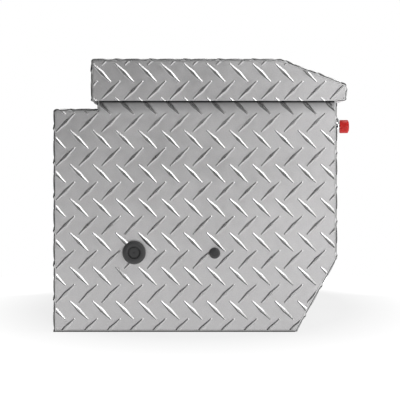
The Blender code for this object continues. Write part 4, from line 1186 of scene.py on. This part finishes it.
def build_hinge():
    """A piano hinge with fine knuckles. Even knuckles belong to the body's leaf."""
    axis = middle("hinge_pin")
    reach_y = high("hinge_leaf_body").y
    pitch = 2 * reach_y / KNUCKLES
    start = axis.z + 0.0035
    for node, body, side, odd in (("hinge_leaf_body", "casing", 1, 0),
                                  ("hinge_leaf_lid", "lid", -1, 1)):
        top = high(node).z
        near, far = axis.x + side * 0.0017, axis.x + side * 0.0032
        x0, x1 = min(near, far), max(near, far)
        pieces = [block((x0, -reach_y, start), (x1, reach_y, top), 0.0004)]
        for k in range(odd, KNUCKLES, 2):
            y0 = -reach_y + k * pitch + 0.0003
            y1 = y0 + pitch - 0.0006
            pieces.append(block((x0, y0, axis.z), (x1, y1, start + 0.0004)))
            rim = mm([(2.9, 0), (3.2, -0.3)], y1) + mm([(3.2, 0.3), (2.9, 0), (2.1, 0), (1.9, 0.2)], y0)
            rim += mm([(1.9, -0.2), (2.1, 0)], y1)
            pieces.append(lathe(rim, (axis.x, 0.0, axis.z), (0, 1, 0), 24, ring=True))
        fitting(node + "_fine", weld(pieces), body, slot_of(node), [node], 35)
        heads = []
        for k in range(RIVETS):
            y = -reach_y + (k + 0.5) * 2 * reach_y / RIVETS + (0.010 if odd else -0.010)
            heads.append(rivet_head((near, y, (start + top) / 2 + 0.001), (-side, 0, 0), 0.0022, 0.0010))
        fitting(node + "_rivets", weld(heads), body, "zinc_steel")


build_casing()
build_lid_sheets()
build_ports()
build_latches()
build_filler_cap()
build_vent_cap()
build_sender()
build_float()
build_struts()
build_sheets()
build_hinge()
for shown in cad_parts.values():
    for slot in shown.material_slots:
        slot.material = FINISHES.get(slot.name, slot.material)


# ---------------------------------------------------------------- stage
FLOOR_RADIUS = 2.15
FLOOR_LIT_FROM = 1.1
FLOOR_LIT_TO = 2.1
SHADE_CENTRE_Y = 0.6
SHADE_REACH = (0.45, 1.75)
SHADE_FROM = 0.70
SHADE_TO = 1.02
SHADE_LEVEL = 0.82
SHADE_DIFFUSE = 0.09
OPEN_DIFFUSE = 0.02


def show(name, data):
    """An object of some data, in the scene."""
    obj = bpy.data.objects.new(name, data)
    bpy.context.scene.collection.objects.link(obj)
    return obj


def build_stage():
    """A pale floor that glows: its emission paints a soft shadow round the tank and grows brighter out to
    plain white.
    """
    looks = Looks("floor", Specular_IOR_Level=0.0, Emission_Color=grey(1.0))
    ellipse = {"Vector": looks.object_space, "Location": (0.0, SHADE_CENTRE_Y, 0.0),
               "Scale": (*SHADE_REACH, 1.0)}
    shade = looks.node("Mapping", ellipse, vector_type="TEXTURE")["Vector"]
    away, distance = (looks.node("VectorMath", {0: place}, operation="LENGTH")["Value"]
                      for place in (shade, looks.object_space))
    open_floor = looks.ramp(away, SHADE_FROM, SHADE_TO)
    lit = looks.ramp(distance, FLOOR_LIT_FROM, FLOOR_LIT_TO)
    looks.set(Emission_Strength=looks.math("ADD", looks.ramp(open_floor, 0.0, 1.0, SHADE_LEVEL),
                                           looks.math("MULTIPLY", open_floor, lit)))
    mottle = looks.ramp(looks.noise(3.0, rough=0.55), 0.3, 0.7, 0.98)
    diffuse = looks.ramp(open_floor, 0.0, 1.0, SHADE_DIFFUSE, OPEN_DIFFUSE)
    looks.finish(looks.math("MULTIPLY", mottle, diffuse), 0.9)
    mesh = bpy.data.meshes.new("floor")
    disc = bmesh.new()
    bmesh.ops.create_circle(disc, cap_ends=True, segments=96, radius=FLOOR_RADIUS)
    disc.to_mesh(mesh)
    disc.free()
    mesh.materials.append(looks.material)
    floor = show("floor", mesh)


# Each lamp's name, place, target, size and power.
LAMPS = [
    ("key", (1.6, -1.1, 1.9), (0.0, -0.45, 0.25), (1.0, 1.0), 10),
    ("near", (0.62, -1.55, 0.50), (0.0, -0.45, 0.3), (0.6, 0.6), 2.0),
    ("front", (0.5, -1.9, 1.8), (0.0, -0.45, 0.25), (1.2, 0.8), 0.8),
    ("side", (2.6, -0.5, 0.4), (0.2, -0.45, 0.25), (0.6, 1.4), 22),
    ("top", (0.0, 0.0, 2.6), (0.0, 0.0, 0.4), (2.0, 2.0), 34),
]
ROOM_LEVEL = 0.035
ROOM_RIGHT = 0.01
ROOM_UP = 0.06


def build_lights():
    """Softboxes on the right, in front and above, in a dim room that is lighter above."""
    for name, place, target, size, power in LAMPS:
        light = bpy.data.lights.new(name, "AREA")
        light.shape = "RECTANGLE"
        light.size, light.size_y = size
        light.energy = power
        lamp = show(name, light)
        lamp.location = place
        lamp.rotation_mode = "QUATERNION"
        lamp.rotation_quaternion = (Vector(target) - Vector(place)).to_track_quat("-Z", "Y")
    world = bpy.data.worlds.new("studio")
    world.use_nodes = True
    nodes = Nodes(world.node_tree)
    way = nodes.node("TexCoord", {})["Generated"]
    rise = nodes.node("VectorMath", {0: way, 1: (ROOM_RIGHT, 0.0, ROOM_UP)}, operation="DOT_PRODUCT")
    room = nodes.node("Math", {0: rise["Value"], 1: ROOM_LEVEL}, operation="ADD", use_clamp=True)
    seen = nodes.node("LightPath", {})["Is Camera Ray"]
    background = nodes.tree.nodes["Background"].inputs
    nodes.put(background["Color"], grey(1.0))
    nodes.put(background["Strength"], nodes.math("MAXIMUM", seen, room["Value"]))
    bpy.context.scene.world = world
    bpy.context.scene.view_settings.view_transform = "Standard"


CAMERA_PLACE = (0.0086, -HALF_LENGTH - 6.0, 0.3276)


def build_camera():
    """Level, a little below the lid's top, far off on a long lens, looking along +Y."""
    camera = bpy.data.cameras.new("camera")
    camera.sensor_width = 36.0
    camera.lens = 300.0
    camera.shift_y = -0.125
    eye = show("camera", camera)
    eye.location = CAMERA_PLACE
    eye.rotation_euler = (math.pi / 2, 0.0, 0.0)
    bpy.context.scene.camera = eye


build_stage()
build_lights()
build_camera()
